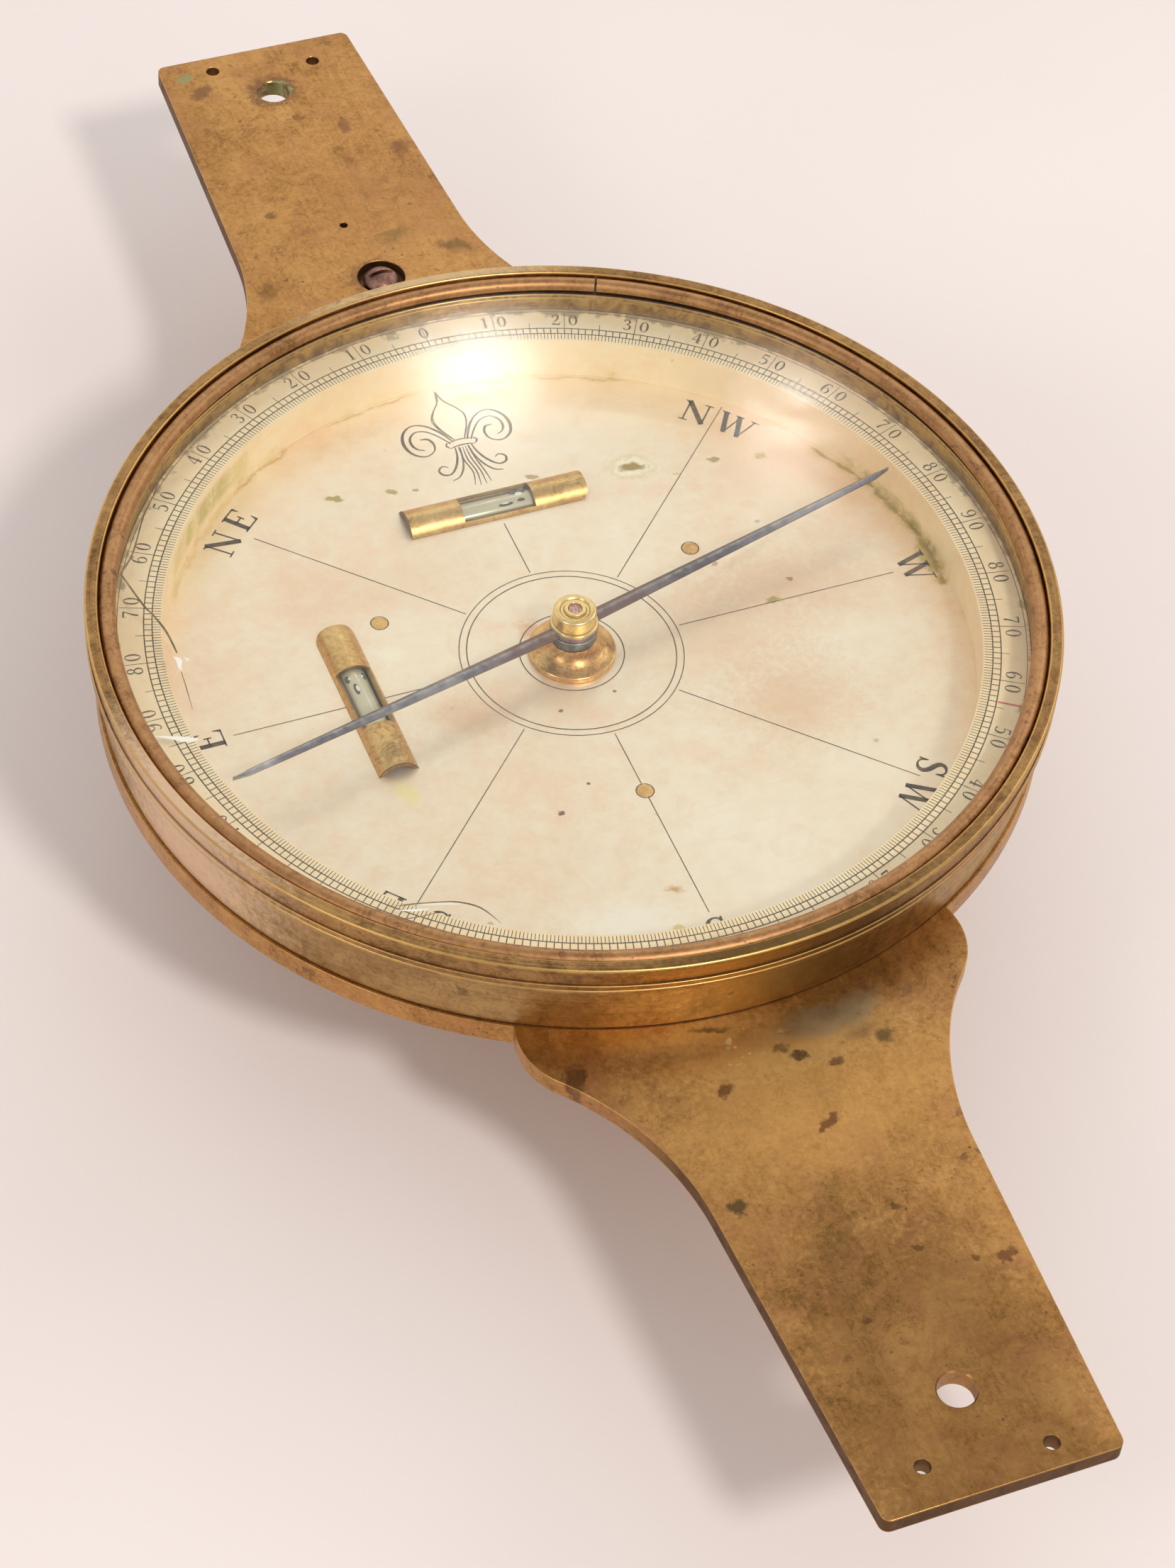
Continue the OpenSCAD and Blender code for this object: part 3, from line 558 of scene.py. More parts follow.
@dataclass(frozen=True)
class Silvering:
    """Silvered brass gone cream, with rosy tinges and yellow stains."""

    name: str
    cream: Colour = srgb(251, 236, 213)
    rosy: Colour = srgb(246, 218, 189)
    pale: Colour = srgb(255, 246, 229)
    metal: float = 0.7
    rough: float = 0.46
    marks: tuple[Mark, ...] = ()
    wall_marks: tuple[Mark, ...] = ()
    stained_rim: float = 0.0
    grain: Grain = Grain.CAST

    def make(self) -> bpy.types.Material:
        """Builds the material.

        Returns:
            The material.
        """
        paint = Paint(self.name)
        cloud = paint.noise(0.022, 4.0, 0.55, 0.6)
        fine = paint.noise(0.35, 4.0, 0.6)
        tone = cloud * 0.5 + fine * 0.25 + 0.12
        base = paint.ramp(tone, (0.38, self.rosy), (0.5, self.cream), (0.64, self.pale))
        radius, angle, height = paint.polar()
        if self.grain is Grain.TURNED:
            brushed = paint.noise(1.0, 2.0, 0.6, at=paint.vector(radius * 3.0, angle * 2.0, height))
        else:
            brushed = paint.noise(1.0, 2.0, 0.6, at=paint.stretch((0.08, 3.2, 1.0)))
        base = paint.mix(paint.step(brushed, 0.52, 0.72) * 0.16, base, self.rosy)
        base = paint.mix(paint.step(paint.noise(1.2, 3.0, 0.7), 0.55, 0.7) * 0.3, base, self.pale)
        dots = 1 - paint.step(paint.cells(0.085), 0.03, 0.075)
        flecks = dots * paint.step(paint.noise(0.5, 2.0), 0.5, 0.6)
        base = paint.mix(flecks * 0.6, base, srgb(150, 120, 76))
        bloom = paint.step(paint.noise(0.13, 5.0, 0.7, 0.6), 0.52, 0.66)
        base = paint.mix(bloom * 0.35, base, self.rosy)
        if self.marks:
            low = 1 - paint.step(height, Z.dial + 0.6, Z.dial + 3.0)
            base = paint.marks(base, self.marks, paint.ragged(0.3, 2.4), low)
        if self.wall_marks:
            belt = paint.step(height, 42.6, 44.6) * (1 - paint.step(height, 47.2, 49.2))
            belt = belt * (1 - paint.step(radius, 67.03, 67.12))
            base = paint.marks(base, self.wall_marks, paint.ragged(0.5, 3.0), belt)
        if self.stained_rim:
            reach = radius + (fine - 0.5) * 7.0 + (cloud - 0.5) * 6.0
            tide = paint.step(reach, self.stained_rim, self.stained_rim + 1.2)
            base = paint.mix(tide * 0.7, base, srgb(146, 122, 72))
        edge = paint.wear()
        base = paint.mix(edge * 0.25, base, srgb(176, 140, 84))
        rough = cloud * 0.12 + fine * 0.1 + (self.rough - 0.11) + flecks * 0.2
        return paint.surface({
            "Base Color": base, "Metallic": self.metal - flecks * 0.3, "Roughness": rough,
            "Normal": paint.bump(brushed * 0.6 + fine * 0.4, 0.12, 0.03)})


@dataclass(frozen=True)
class Steel:
    """Steel, blued, browned or dulled, with a mottled skin."""

    name: str
    light: Colour
    main: Colour
    deep: Colour
    bare: Colour = srgb(206, 204, 204)
    rough: float = 0.34
    scale: float = 0.18
    rust: float = 0.0
    metal: float = 0.95
    heat: Colour | None = None
    heat_reach: float = 22.0

    def make(self) -> bpy.types.Material:
        """Builds the material.

        Returns:
            The material.
        """
        paint = Paint(self.name)
        cloud = paint.noise(self.scale, 4.0, 0.6, 0.5)
        fine = paint.noise(self.scale * 9, 3.0, 0.6)
        base = paint.ramp(cloud * 0.75 + fine * 0.25, (0.36, self.deep), (0.5, self.main), (0.64, self.light))
        if self.heat:
            reach = self.heat_reach
            near = 1 - paint.step(paint.polar()[0] + cloud * 12.0, reach * 0.6, reach * 1.4)
            base = paint.mix(near * 0.75, base, self.heat)
        rust = paint.step(paint.noise(self.scale * 3, 4.0, 0.65), 0.56, 0.68) * self.rust
        base = paint.mix(rust * 0.8, base, srgb(112, 64, 44))
        edge = paint.step(paint.wear() * (fine + 0.45), 0.3, 0.8)
        base = paint.mix(edge * 0.7, base, self.bare)
        rough = fine * 0.2 + cloud * 0.15 + (self.rough - 0.17) + rust * 0.25
        return paint.surface({
            "Base Color": base, "Metallic": self.metal - rust * 0.5, "Roughness": rough,
            "Normal": paint.bump(fine * 0.6 + rust * 0.4, 0.25, 0.05)})


@dataclass(frozen=True)
class Ink:
    """The dark wax in engraved lines, thin in places."""

    name: str
    full: Colour = srgb(56, 47, 35)
    faded: Colour = srgb(118, 100, 74)

    def make(self) -> bpy.types.Material:
        """Builds the material.

        Returns:
            The material.
        """
        paint = Paint(self.name)
        thin = paint.noise(0.09, 4.0, 0.65) * 0.6 + paint.noise(0.8, 2.0) * 0.4
        base = paint.ramp(thin, (0.44, self.full), (0.66, self.faded))
        return paint.surface({"Base Color": base, "Roughness": thin * 0.3 + 0.45})


@dataclass(frozen=True)
class ClearGlass:
    """Old clear glass: see-through, with gloss that grows at a slant and a few smears."""

    name: str
    tint: Colour = (0.985, 0.99, 0.975, 1.0)
    gloss: float = 0.1
    shine: float = 0.03
    smear: float = 0.0

    def make(self) -> bpy.types.Material:
        """Builds the material.

        Returns:
            The material.
        """
        paint = Paint(self.name)
        smear = paint.step(paint.noise(0.06, 5.0, 0.7, 1.2), 0.52, 0.74)
        clear = paint.add("ShaderNodeBsdfTransparent", None, {"Color": self.tint})
        shine = paint.add("ShaderNodeBsdfPrincipled", None, {
            "Base Color": self.tint, "Roughness": smear * 0.12 + self.gloss, "Metallic": 1.0})
        facing = paint.add("ShaderNodeLayerWeight", None, {"Blend": 0.5}, "Facing")
        share = facing ** 4.0 * 0.6 + self.shine + smear * self.smear
        return paint.end(paint.add("ShaderNodeMixShader", None, {0: share, 1: clear, 2: shine}))


@dataclass(frozen=True)
class Spirit:
    """The spirit in a level, the painted highlight and shade of its bubble, or the painted glints of the
    glass's cracks.
    """

    name: str
    pale: Colour
    deep: Colour
    rough: float = 0.1

    def make(self) -> bpy.types.Material:
        """Builds the material.

        Returns:
            The material.
        """
        paint = Paint(self.name)
        cloud = paint.noise(0.3, 3.0, 0.5)
        rim = paint.add("ShaderNodeLayerWeight", None, {"Blend": 0.35}, "Facing")
        base = paint.mix(rim * 0.8 + cloud * 0.2, self.pale, self.deep)
        return paint.surface({"Base Color": base, "Roughness": cloud * 0.1 + self.rough, "Metallic": 0.25})


@dataclass(frozen=True)
class Stone:
    """The polished stone in the needle's cap."""

    name: str
    pale: Colour = srgb(226, 190, 178)
    deep: Colour = srgb(150, 92, 88)

    def make(self) -> bpy.types.Material:
        """Builds the material.

        Returns:
            The material.
        """
        paint = Paint(self.name)
        cloud = paint.noise(1.6, 3.0, 0.6, 0.6)
        base = paint.ramp(cloud, (0.4, self.deep), (0.6, self.pale))
        return paint.surface({"Base Color": base, "Roughness": cloud * 0.1 + 0.03})


@dataclass(frozen=True)
class PaleFloor:
    """A pale floor with a trace of unevenness."""

    name: str
    light: Colour = srgb(244, 234, 230)
    shade: Colour = srgb(241, 230, 226)

    def make(self) -> bpy.types.Material:
        """Builds the material.

        Returns:
            The material.
        """
        paint = Paint(self.name)
        base = paint.ramp(paint.noise(0.006, 3.0, 0.5), (0.4, self.shade), (0.6, self.light))
        return paint.surface({"Base Color": base, "Roughness": 0.75})


def trail(points: Sequence[Flat], wide: float, colour: Colour, strength: float,
          soft: float) -> tuple[Mark, ...]:
    """Lays marks end to end along a line.

    Args:
        points: The line's points.
        wide: Half the line's width.
        colour: Its colour.
        strength: Share of that colour.
        soft: Where its edge starts to fade.

    Returns:
        The marks.
    """
    out = []
    for (x1, y1), (x2, y2) in zip(points, points[1:]):
        turn = math.degrees(math.atan2(y2 - y1, x2 - x1)) - 90.0
        reach = math.hypot(x2 - x1, y2 - y1) * 0.75
        out.append(Mark((x1 + x2) / 2, (y1 + y2) / 2, wide, reach, colour, strength, turn, soft))
    return tuple(out)


class Finishes:
    """All materials of the compass, made once."""

    RUST_BROWN = srgb(104, 62, 44)
    # A real solder patch by the box, made paler than it is as painted light for the light the box wall throws
    # there.
    SOLDER = srgb(184, 170, 142)
    UMBER = srgb(88, 60, 40)
    STAIN = srgb(226, 204, 128)
    OLIVE = srgb(176, 154, 78)

    def __init__(self) -> None:
        """Makes the materials."""
        self.plate = Brass("plate_brass", edges=0.3, marks=self.plate_marks()).make()
        # The box and the bezel carry painted shade at the front and painted highlights on the left and at the
        # back.
        self.box = Brass(
            "box_brass", grain=Grain.TURNED, gold=srgb(180, 147, 97), brown=srgb(157, 124, 79), cloud=0.06,
            blush=0.15, spots=0.5, pits=0.5, rough=0.42, edges=0.7, inside=BOX_LINING,
            marks=self.round_marks()).make()
        self.bezel = Brass(
            "bezel_brass", grain=Grain.TURNED, gold=srgb(174, 136, 86), brown=srgb(145, 109, 68),
            dark=srgb(102, 75, 46), cloud=0.07, blush=0.15, spots=0.7, pits=0.5, rough=0.4, edges=0.75,
            inside=BOX_LINING, marks=self.round_marks()).make()
        self.bright = Brass(
            "bright_brass", grain=Grain.TURNED, gold=srgb(244, 214, 142), brown=srgb(226, 188, 112),
            dark=srgb(180, 136, 74), worn=srgb(253, 234, 178), rose=srgb(236, 200, 130), cloud=0.25,
            patina=0.36, spots=0.1, pits=0.1, rough=0.34).make()
        self.cover = Brass(
            "cover_brass", grain=Grain.CAST, gold=srgb(222, 184, 118), brown=srgb(200, 158, 94),
            dark=srgb(146, 106, 60), worn=srgb(244, 214, 152), rose=srgb(208, 164, 104), cloud=0.12,
            patina=0.42, spots=0.3, pits=0.4, rough=0.34).make()
        self.copper = Brass(
            "lifter_brass", grain=Grain.TURNED, gold=srgb(228, 188, 118), brown=srgb(204, 152, 90),
            dark=srgb(142, 96, 54), worn=srgb(246, 216, 150), rose=srgb(206, 140, 88), cloud=0.2,
            patina=0.46, spots=0.5, pits=0.3, rough=0.34).make()
        self.rivet = Brass(
            "rivet_brass", grain=Grain.CAST, gold=srgb(240, 200, 128), brown=srgb(218, 172, 102),
            dark=srgb(174, 132, 72), cloud=0.5, patina=0.45, spots=0.3, pits=0.2, rough=0.5).make()
        self.browned = Brass(
            "spring_brown", grain=Grain.TURNED, gold=srgb(184, 138, 93), brown=srgb(162, 118, 77),
            dark=srgb(114, 81, 53), worn=srgb(210, 166, 115), rose=srgb(184, 132, 95), cloud=0.1,
            patina=0.48, spots=0.6, pits=0.8, rough=0.44).make()
        self.under = Brass(
            "under_brass", grain=Grain.TURNED, gold=srgb(180, 147, 97), brown=srgb(157, 124, 79), cloud=0.06,
            blush=0.3, pits=0.6, rough=0.42, edges=0.7).make()
        self.dial = Silvering("dial_silvering", marks=self.dial_marks()).make()
        self.limb = Silvering(
            "limb_silvering", grain=Grain.TURNED, cream=srgb(254, 230, 188), rosy=srgb(246, 214, 170),
            pale=srgb(255, 240, 208), metal=0.2, stained_rim=74.0, wall_marks=self.wall_marks(),
            marks=self.corner_marks() + self.edge_marks()).make()
        self.ink = Ink("engraving_wax").make()
        self.faint_ink = Ink("faint_wax", full=srgb(82, 66, 44), faded=srgb(146, 126, 94)).make()
        self.flower_ink = Ink("flower_wax", full=srgb(80, 64, 40), faded=srgb(144, 124, 84)).make()
        self.blued = Steel("blued_steel", light=srgb(158, 156, 162), main=srgb(122, 119, 130),
                           deep=srgb(90, 86, 98), scale=0.07, rough=0.36, heat=srgb(130, 96, 90)).make()
        self.screw = Steel("screw_steel", light=srgb(170, 132, 116), main=srgb(134, 98, 86),
                           deep=srgb(88, 62, 54), scale=0.4, rough=0.42, rust=0.5).make()
        self.steel = Steel("dull_steel", light=srgb(158, 162, 162), main=srgb(112, 118, 122),
                           deep=srgb(76, 80, 86), scale=0.3, rough=0.36).make()
        self.window = ClearGlass("window_glass", smear=0.006).make()
        self.tube = ClearGlass("vial_glass", tint=(0.97, 0.975, 0.95, 1.0)).make()
        self.spirit = Spirit("spirit", srgb(220, 212, 190), srgb(146, 136, 112)).make()
        # The bubble's pale middle is a painted highlight and its dark rim painted shade.
        self.bubble = Spirit("bubble", srgb(248, 246, 240), srgb(196, 190, 178), 0.05).make()
        self.bubble_rim = Spirit("bubble_rim", srgb(92, 86, 78), srgb(60, 54, 48), 0.1).make()
        # Pale hairs along the glass's cracks: painted glints.
        self.crack = Spirit("crack", srgb(250, 248, 238), srgb(214, 206, 186), 0.3).make()
        self.crack_dark = Ink("crack_shade", full=srgb(104, 88, 62), faded=srgb(156, 138, 104)).make()
        self.stone = Stone("cap_stone").make()
        self.red = Ink("red_mark", full=srgb(226, 92, 80), faded=srgb(238, 134, 116)).make()
        self.floor = PaleFloor("pale_floor").make()

    def plate_marks(self) -> tuple[Mark, ...]:
        """Lists the stains and worn places on the plate, with painted light and painted shade on the south
        arm.

        Returns:
            The marks.
        """
        rust = self.RUST_BROWN
        umber = self.UMBER
        return (
            # Darker lower south arm: painted shade for the dimmer light that the arm's end reflects.
            Mark(0.0, -152.0, 25.0, 42.0, srgb(96, 68, 36), 0.32, 0.0, 0.6),
            # Lighter south arm next to the box: painted light for the light that the box wall throws onto the
            # plate.
            Mark(0.0, -96.0, 30.0, 19.0, srgb(240, 184, 106), 0.36, 0.0, 0.3),
            Mark(0.0, -85.0, 32.0, 8.0, srgb(250, 204, 128), 0.55, 0.0, 0.2),
            Mark(-12.0, -80.0, 20.0, 5.0, srgb(238, 210, 156), 0.45, 0.0, 0.1),
            Mark(-6.0, -120.0, 6.0, 13.0, srgb(104, 82, 46), 0.26, -14.0, 0.0),
            Mark(-10.0, -142.0, 5.0, 22.0, srgb(108, 82, 44), 0.22, -6.0, 0.0),
            Mark(6.0, -138.0, 6.0, 24.0, srgb(120, 88, 48), 0.2, 8.0, 0.0),
            Mark(6.0, 118.0, 16.0, 22.0, srgb(166, 116, 74), 0.35, 0.0, 0.2),
            Mark(-0.2, 154.4, 6.4, 5.6, srgb(110, 78, 58), 0.75, 20.0, 0.45),
            Mark(0.0, 154.1, 3.2, 3.2, srgb(146, 150, 104), 0.9, 0.0, 0.9),
            Mark(-14.8, 162.7, 1.7, 1.4, srgb(146, 158, 108), 0.75, 30.0),
            Mark(-13.0, 157.6, 3.2, 2.2, srgb(116, 84, 64), 0.65, 20.0, 0.5),
            Mark(17.4, 131.5, 3.0, 3.6, srgb(120, 78, 58), 0.7, 0.0, 0.2),
            Mark(8.1, 108.5, 5.0, 2.6, srgb(112, 98, 62), 0.5, 30.0, 0.1),
            Mark(17.4, 102.5, 4.6, 2.2, srgb(98, 78, 54), 0.65, -30.0, 0.2),
            Mark(1.9, 145.3, 1.7, 1.2, rust, 0.55),
            Mark(9.4, 140.5, 1.2, 3.4, srgb(128, 88, 62), 0.65, -10.0, 0.5),
            Mark(-11.8, 120.4, 1.6, 1.1, umber, 0.5, 20.0),
            Mark(-7.0, 114.4, 4.4, 1.6, srgb(122, 84, 58), 0.35, 10.0, 0.1),
            Mark(-19.0, 100.5, 4.0, 2.4, umber, 0.4, 40.0, 0.1),
            Mark(0.6, 98.9, 6.6, 5.6, srgb(92, 64, 54), 0.7, 0.0, 0.3),
            Mark(-2.0, 86.0, 22.0, 5.0, srgb(150, 100, 54), 0.5, 4.0, 0.2),
            # Solder patch, lightened with painted light.
            Mark(8.6, -83.2, 10.0, 4.0, self.SOLDER, 0.62, -4.0, 0.35),
            Mark(15.6, -82.0, 5.4, 3.2, self.SOLDER, 0.5, 10.0, 0.3),
            Mark(13.6, -87.4, 5.0, 1.6, srgb(140, 100, 72), 0.5, 20.0, 0.1),
            Mark(16.8, -89.2, 2.1, 1.9, srgb(92, 84, 52), 0.75, 0.0, 0.3),
            Mark(2.8, -88.3, 1.7, 1.3, srgb(92, 70, 46), 0.85, 0.0, 0.5),
            Mark(0.4, -86.4, 1.6, 1.2, srgb(104, 84, 50), 0.65, 0.0, 0.5),
            Mark(7.5, -91.0, 1.6, 1.0, srgb(104, 70, 48), 0.75, 0.0, 0.5),
            Mark(-8.4, -79.4, 4.2, 0.9, srgb(82, 58, 46), 0.7, -14.0, 0.2),
            Mark(-10.7, -91.1, 2.0, 1.3, rust, 0.75, 30.0, 0.5),
            Mark(1.7, -101.6, 3.2, 1.2, rust, 0.75, 24.0, 0.5),
            Mark(-17.2, -111.4, 1.9, 1.7, srgb(92, 74, 50), 0.85, 0.0, 0.5),
            Mark(-31.0, -81.5, 3.4, 1.8, umber, 0.7, 60.0, 0.5),
            Mark(-7.6, -136.1, 1.3, 0.9, rust, 0.7, 0.0, 0.5),
            Mark(16.9, -132.1, 2.2, 1.3, rust, 0.7, 20.0, 0.5),
            Mark(12.3, -131.2, 0.9, 0.8, umber, 0.6),
            Mark(4.3, -118.8, 1.0, 0.8, umber, 0.6),
            Mark(4.9, -127.0, 0.8, 0.7, umber, 0.6),
        )

    @staticmethod
    def round_marks() -> tuple[Mark, ...]:
        """Lists the painted shade on the front of the box and its bezel, and their painted highlights on the
        left and at the back.
        """
        return (
            # Painted shade on the front, then painted highlights on the left side and at the back.
            Mark(8.0, -80.0, 50.0, 13.0, srgb(98, 76, 42), 0.78, 0.0, 0.25),
            Mark(-75.0, -24.0, 12.0, 34.0, srgb(244, 214, 184), 0.65, 17.0, 0.1),
            Mark(6.0, 79.0, 48.0, 9.0, srgb(255, 226, 178), 0.45, 0.0, 0.1),
        )

    def corner_marks(self) -> tuple[Mark, ...]:
        """Lists the stains in the corner between the dial and the raised ring.

        Returns:
            The marks.
        """
        right = [on_circle(r, t) for r, t in (
            (65.7, 29.4), (66.2, 25.5), (66.5, 20.7), (66.6, 17.3), (66.5, 14.1), (66.6, 10.4), (66.6, 6.0),
            (66.2, 1.6), (65.9, -2.7), (65.8, -4.6))]
        left = [on_circle(66.6, t) for t in range(116, 153, 6)]
        back = [on_circle(66.4, t) for t in range(60, 110, 8)]
        return (
            *trail(right, 2.0, self.STAIN, 0.8, 0.2),
            *trail(left, 0.9, self.STAIN, 0.5, 0.2),
            *trail(back, 0.9, self.STAIN, 0.4, 0.1),
            Mark(65.3, 1.0, 1.9, 6.0, srgb(190, 174, 108), 0.75, 2.0, 0.3),
            *trail(right, 0.75, self.OLIVE, 0.85, 0.2),
            *trail(left[:3], 0.4, srgb(200, 172, 114), 0.5, 0.1),
            *trail(back, 0.35, srgb(206, 178, 124), 0.4, 0.1),
        )

    def wall_marks(self) -> tuple[Mark, ...]:
        """Lists the stains on the raised ring's inner wall."""
        spots = [on_circle(R.limb_inside, t) for t in range(124, 150, 5)]
        return (
            *trail(spots, 1.6, self.STAIN, 0.75, 0.2),
            *trail(spots[1:4], 1.2, srgb(196, 176, 96), 0.6, 0.1),
            Mark(-52.4, 41.6, 1.6, 2.4, srgb(206, 200, 104), 0.8, 52.0, 0.2),
        )

    def edge_marks(self) -> tuple[Mark, ...]:
        """Lists the green stains along the raised ring's outer edge."""
        edge = [on_circle(74.4, t) for t in range(-14, 27, 4)]
        return trail(edge, 0.8, srgb(170, 152, 86), 0.7, 0.2)

    def dial_marks(self) -> tuple[Mark, ...]:
        """Lists the stains on the dial, with a painted glow near S and the bell's painted reflection and
        shade.

        Returns:
            The marks.
        """
        stain = self.STAIN
        olive = self.OLIVE
        rosy = srgb(235, 196, 158)
        brown = srgb(104, 84, 58)
        return (
            Mark(24.0, -4.0, 24.0, 18.0, rosy, 0.4, 20.0, 0.0),
            Mark(31.0, -21.0, 18.0, 15.0, rosy, 0.65, 20.0, 0.0),
            Mark(46.0, 36.0, 18.0, 12.0, srgb(232, 198, 154), 0.4, -42.0, 0.0),
            Mark(-21.0, -8.0, 10.0, 6.0, rosy, 0.6, -20.0, 0.1),
            Mark(40.0, 3.0, 22.0, 10.0, rosy, 0.5, -10.0, 0.1),
            Mark(-20.0, 24.0, 22.0, 10.0, rosy, 0.25, 10.0, 0.1),
            Mark(36.0, 11.5, 15.0, 1.6, srgb(226, 200, 162), 0.4, 24.0, 0.1),
            # Pale patch by S: a painted glow of light reflected in the dial.
            Mark(-12.0, -57.0, 16.0, 7.0, srgb(255, 250, 238), 0.7, -18.0, 0.1),
            # Copper tinge round the bell's foot: painted reflection and shade of the bell on the dial.
            Mark(-4.6, 6.6, 3.2, 3.6, srgb(226, 160, 100), 0.6, 45.0, 0.2),
            Mark(5.6, 6.0, 2.2, 2.4, srgb(232, 178, 122), 0.45, -45.0, 0.2),
            *self.corner_marks(),
            Mark(25.8, 37.6, 4.9, 3.4, srgb(216, 194, 134), 0.55, -18.0, 0.6),
            Mark(25.8, 37.6, 4.2, 2.8, srgb(255, 249, 226), 0.9, -18.0, 0.6),
            Mark(25.8, 37.6, 2.9, 1.5, srgb(168, 144, 70), 0.95, -18.0, 0.4),
            Mark(39.9, 34.8, 1.3, 0.7, olive, 0.85, -18.0),
            Mark(48.0, 33.1, 1.6, 0.9, srgb(196, 172, 92), 0.85, -18.0),
            Mark(32.6, 33.2, 0.9, 0.5, stain, 0.8, -18.0),
            Mark(41.2, 18.6, 0.6, 0.5, srgb(196, 176, 150), 0.7),
            Mark(36.5, 0.3, 1.5, 0.8, olive, 0.8, 10.0),
            Mark(41.1, 4.2, 0.7, 0.5, srgb(178, 128, 96), 0.8),
            Mark(-25.6, 46.0, 1.5, 0.9, olive, 0.85, -18.0),
            Mark(-15.5, 44.6, 1.4, 0.6, olive, 0.8, -18.0),
            Mark(-11.4, 43.6, 0.8, 0.5, olive, 0.8, -18.0),
            Mark(8.4, 40.6, 1.7, 0.8, olive, 0.8, -18.0),
            Mark(-28.3, 8.7, 2.8, 2.6, srgb(255, 246, 226), 0.7, 0.0, 0.4),
            Mark(-7.7, -28.1, 0.5, 0.45, brown, 0.9),
            Mark(-14.4, -32.3, 0.8, 0.6, brown, 0.9),
            Mark(3.4, -10.6, 0.5, 0.4, brown, 0.8),
            Mark(-6.6, -11.6, 0.5, 0.4, brown, 0.8),
            Mark(-3.3, -52.8, 2.2, 1.2, srgb(206, 160, 82), 0.85, -18.0, 0.1),
            Mark(-5.9, -60.4, 1.4, 0.8, stain, 0.8),
            Mark(-36.4, -20.4, 2.6, 4.4, srgb(248, 232, 160), 0.75, 20.0, 0.2),
            Mark(-42.0, -45.0, 1.4, 0.7, srgb(196, 172, 100), 0.8, -20.0),
        )


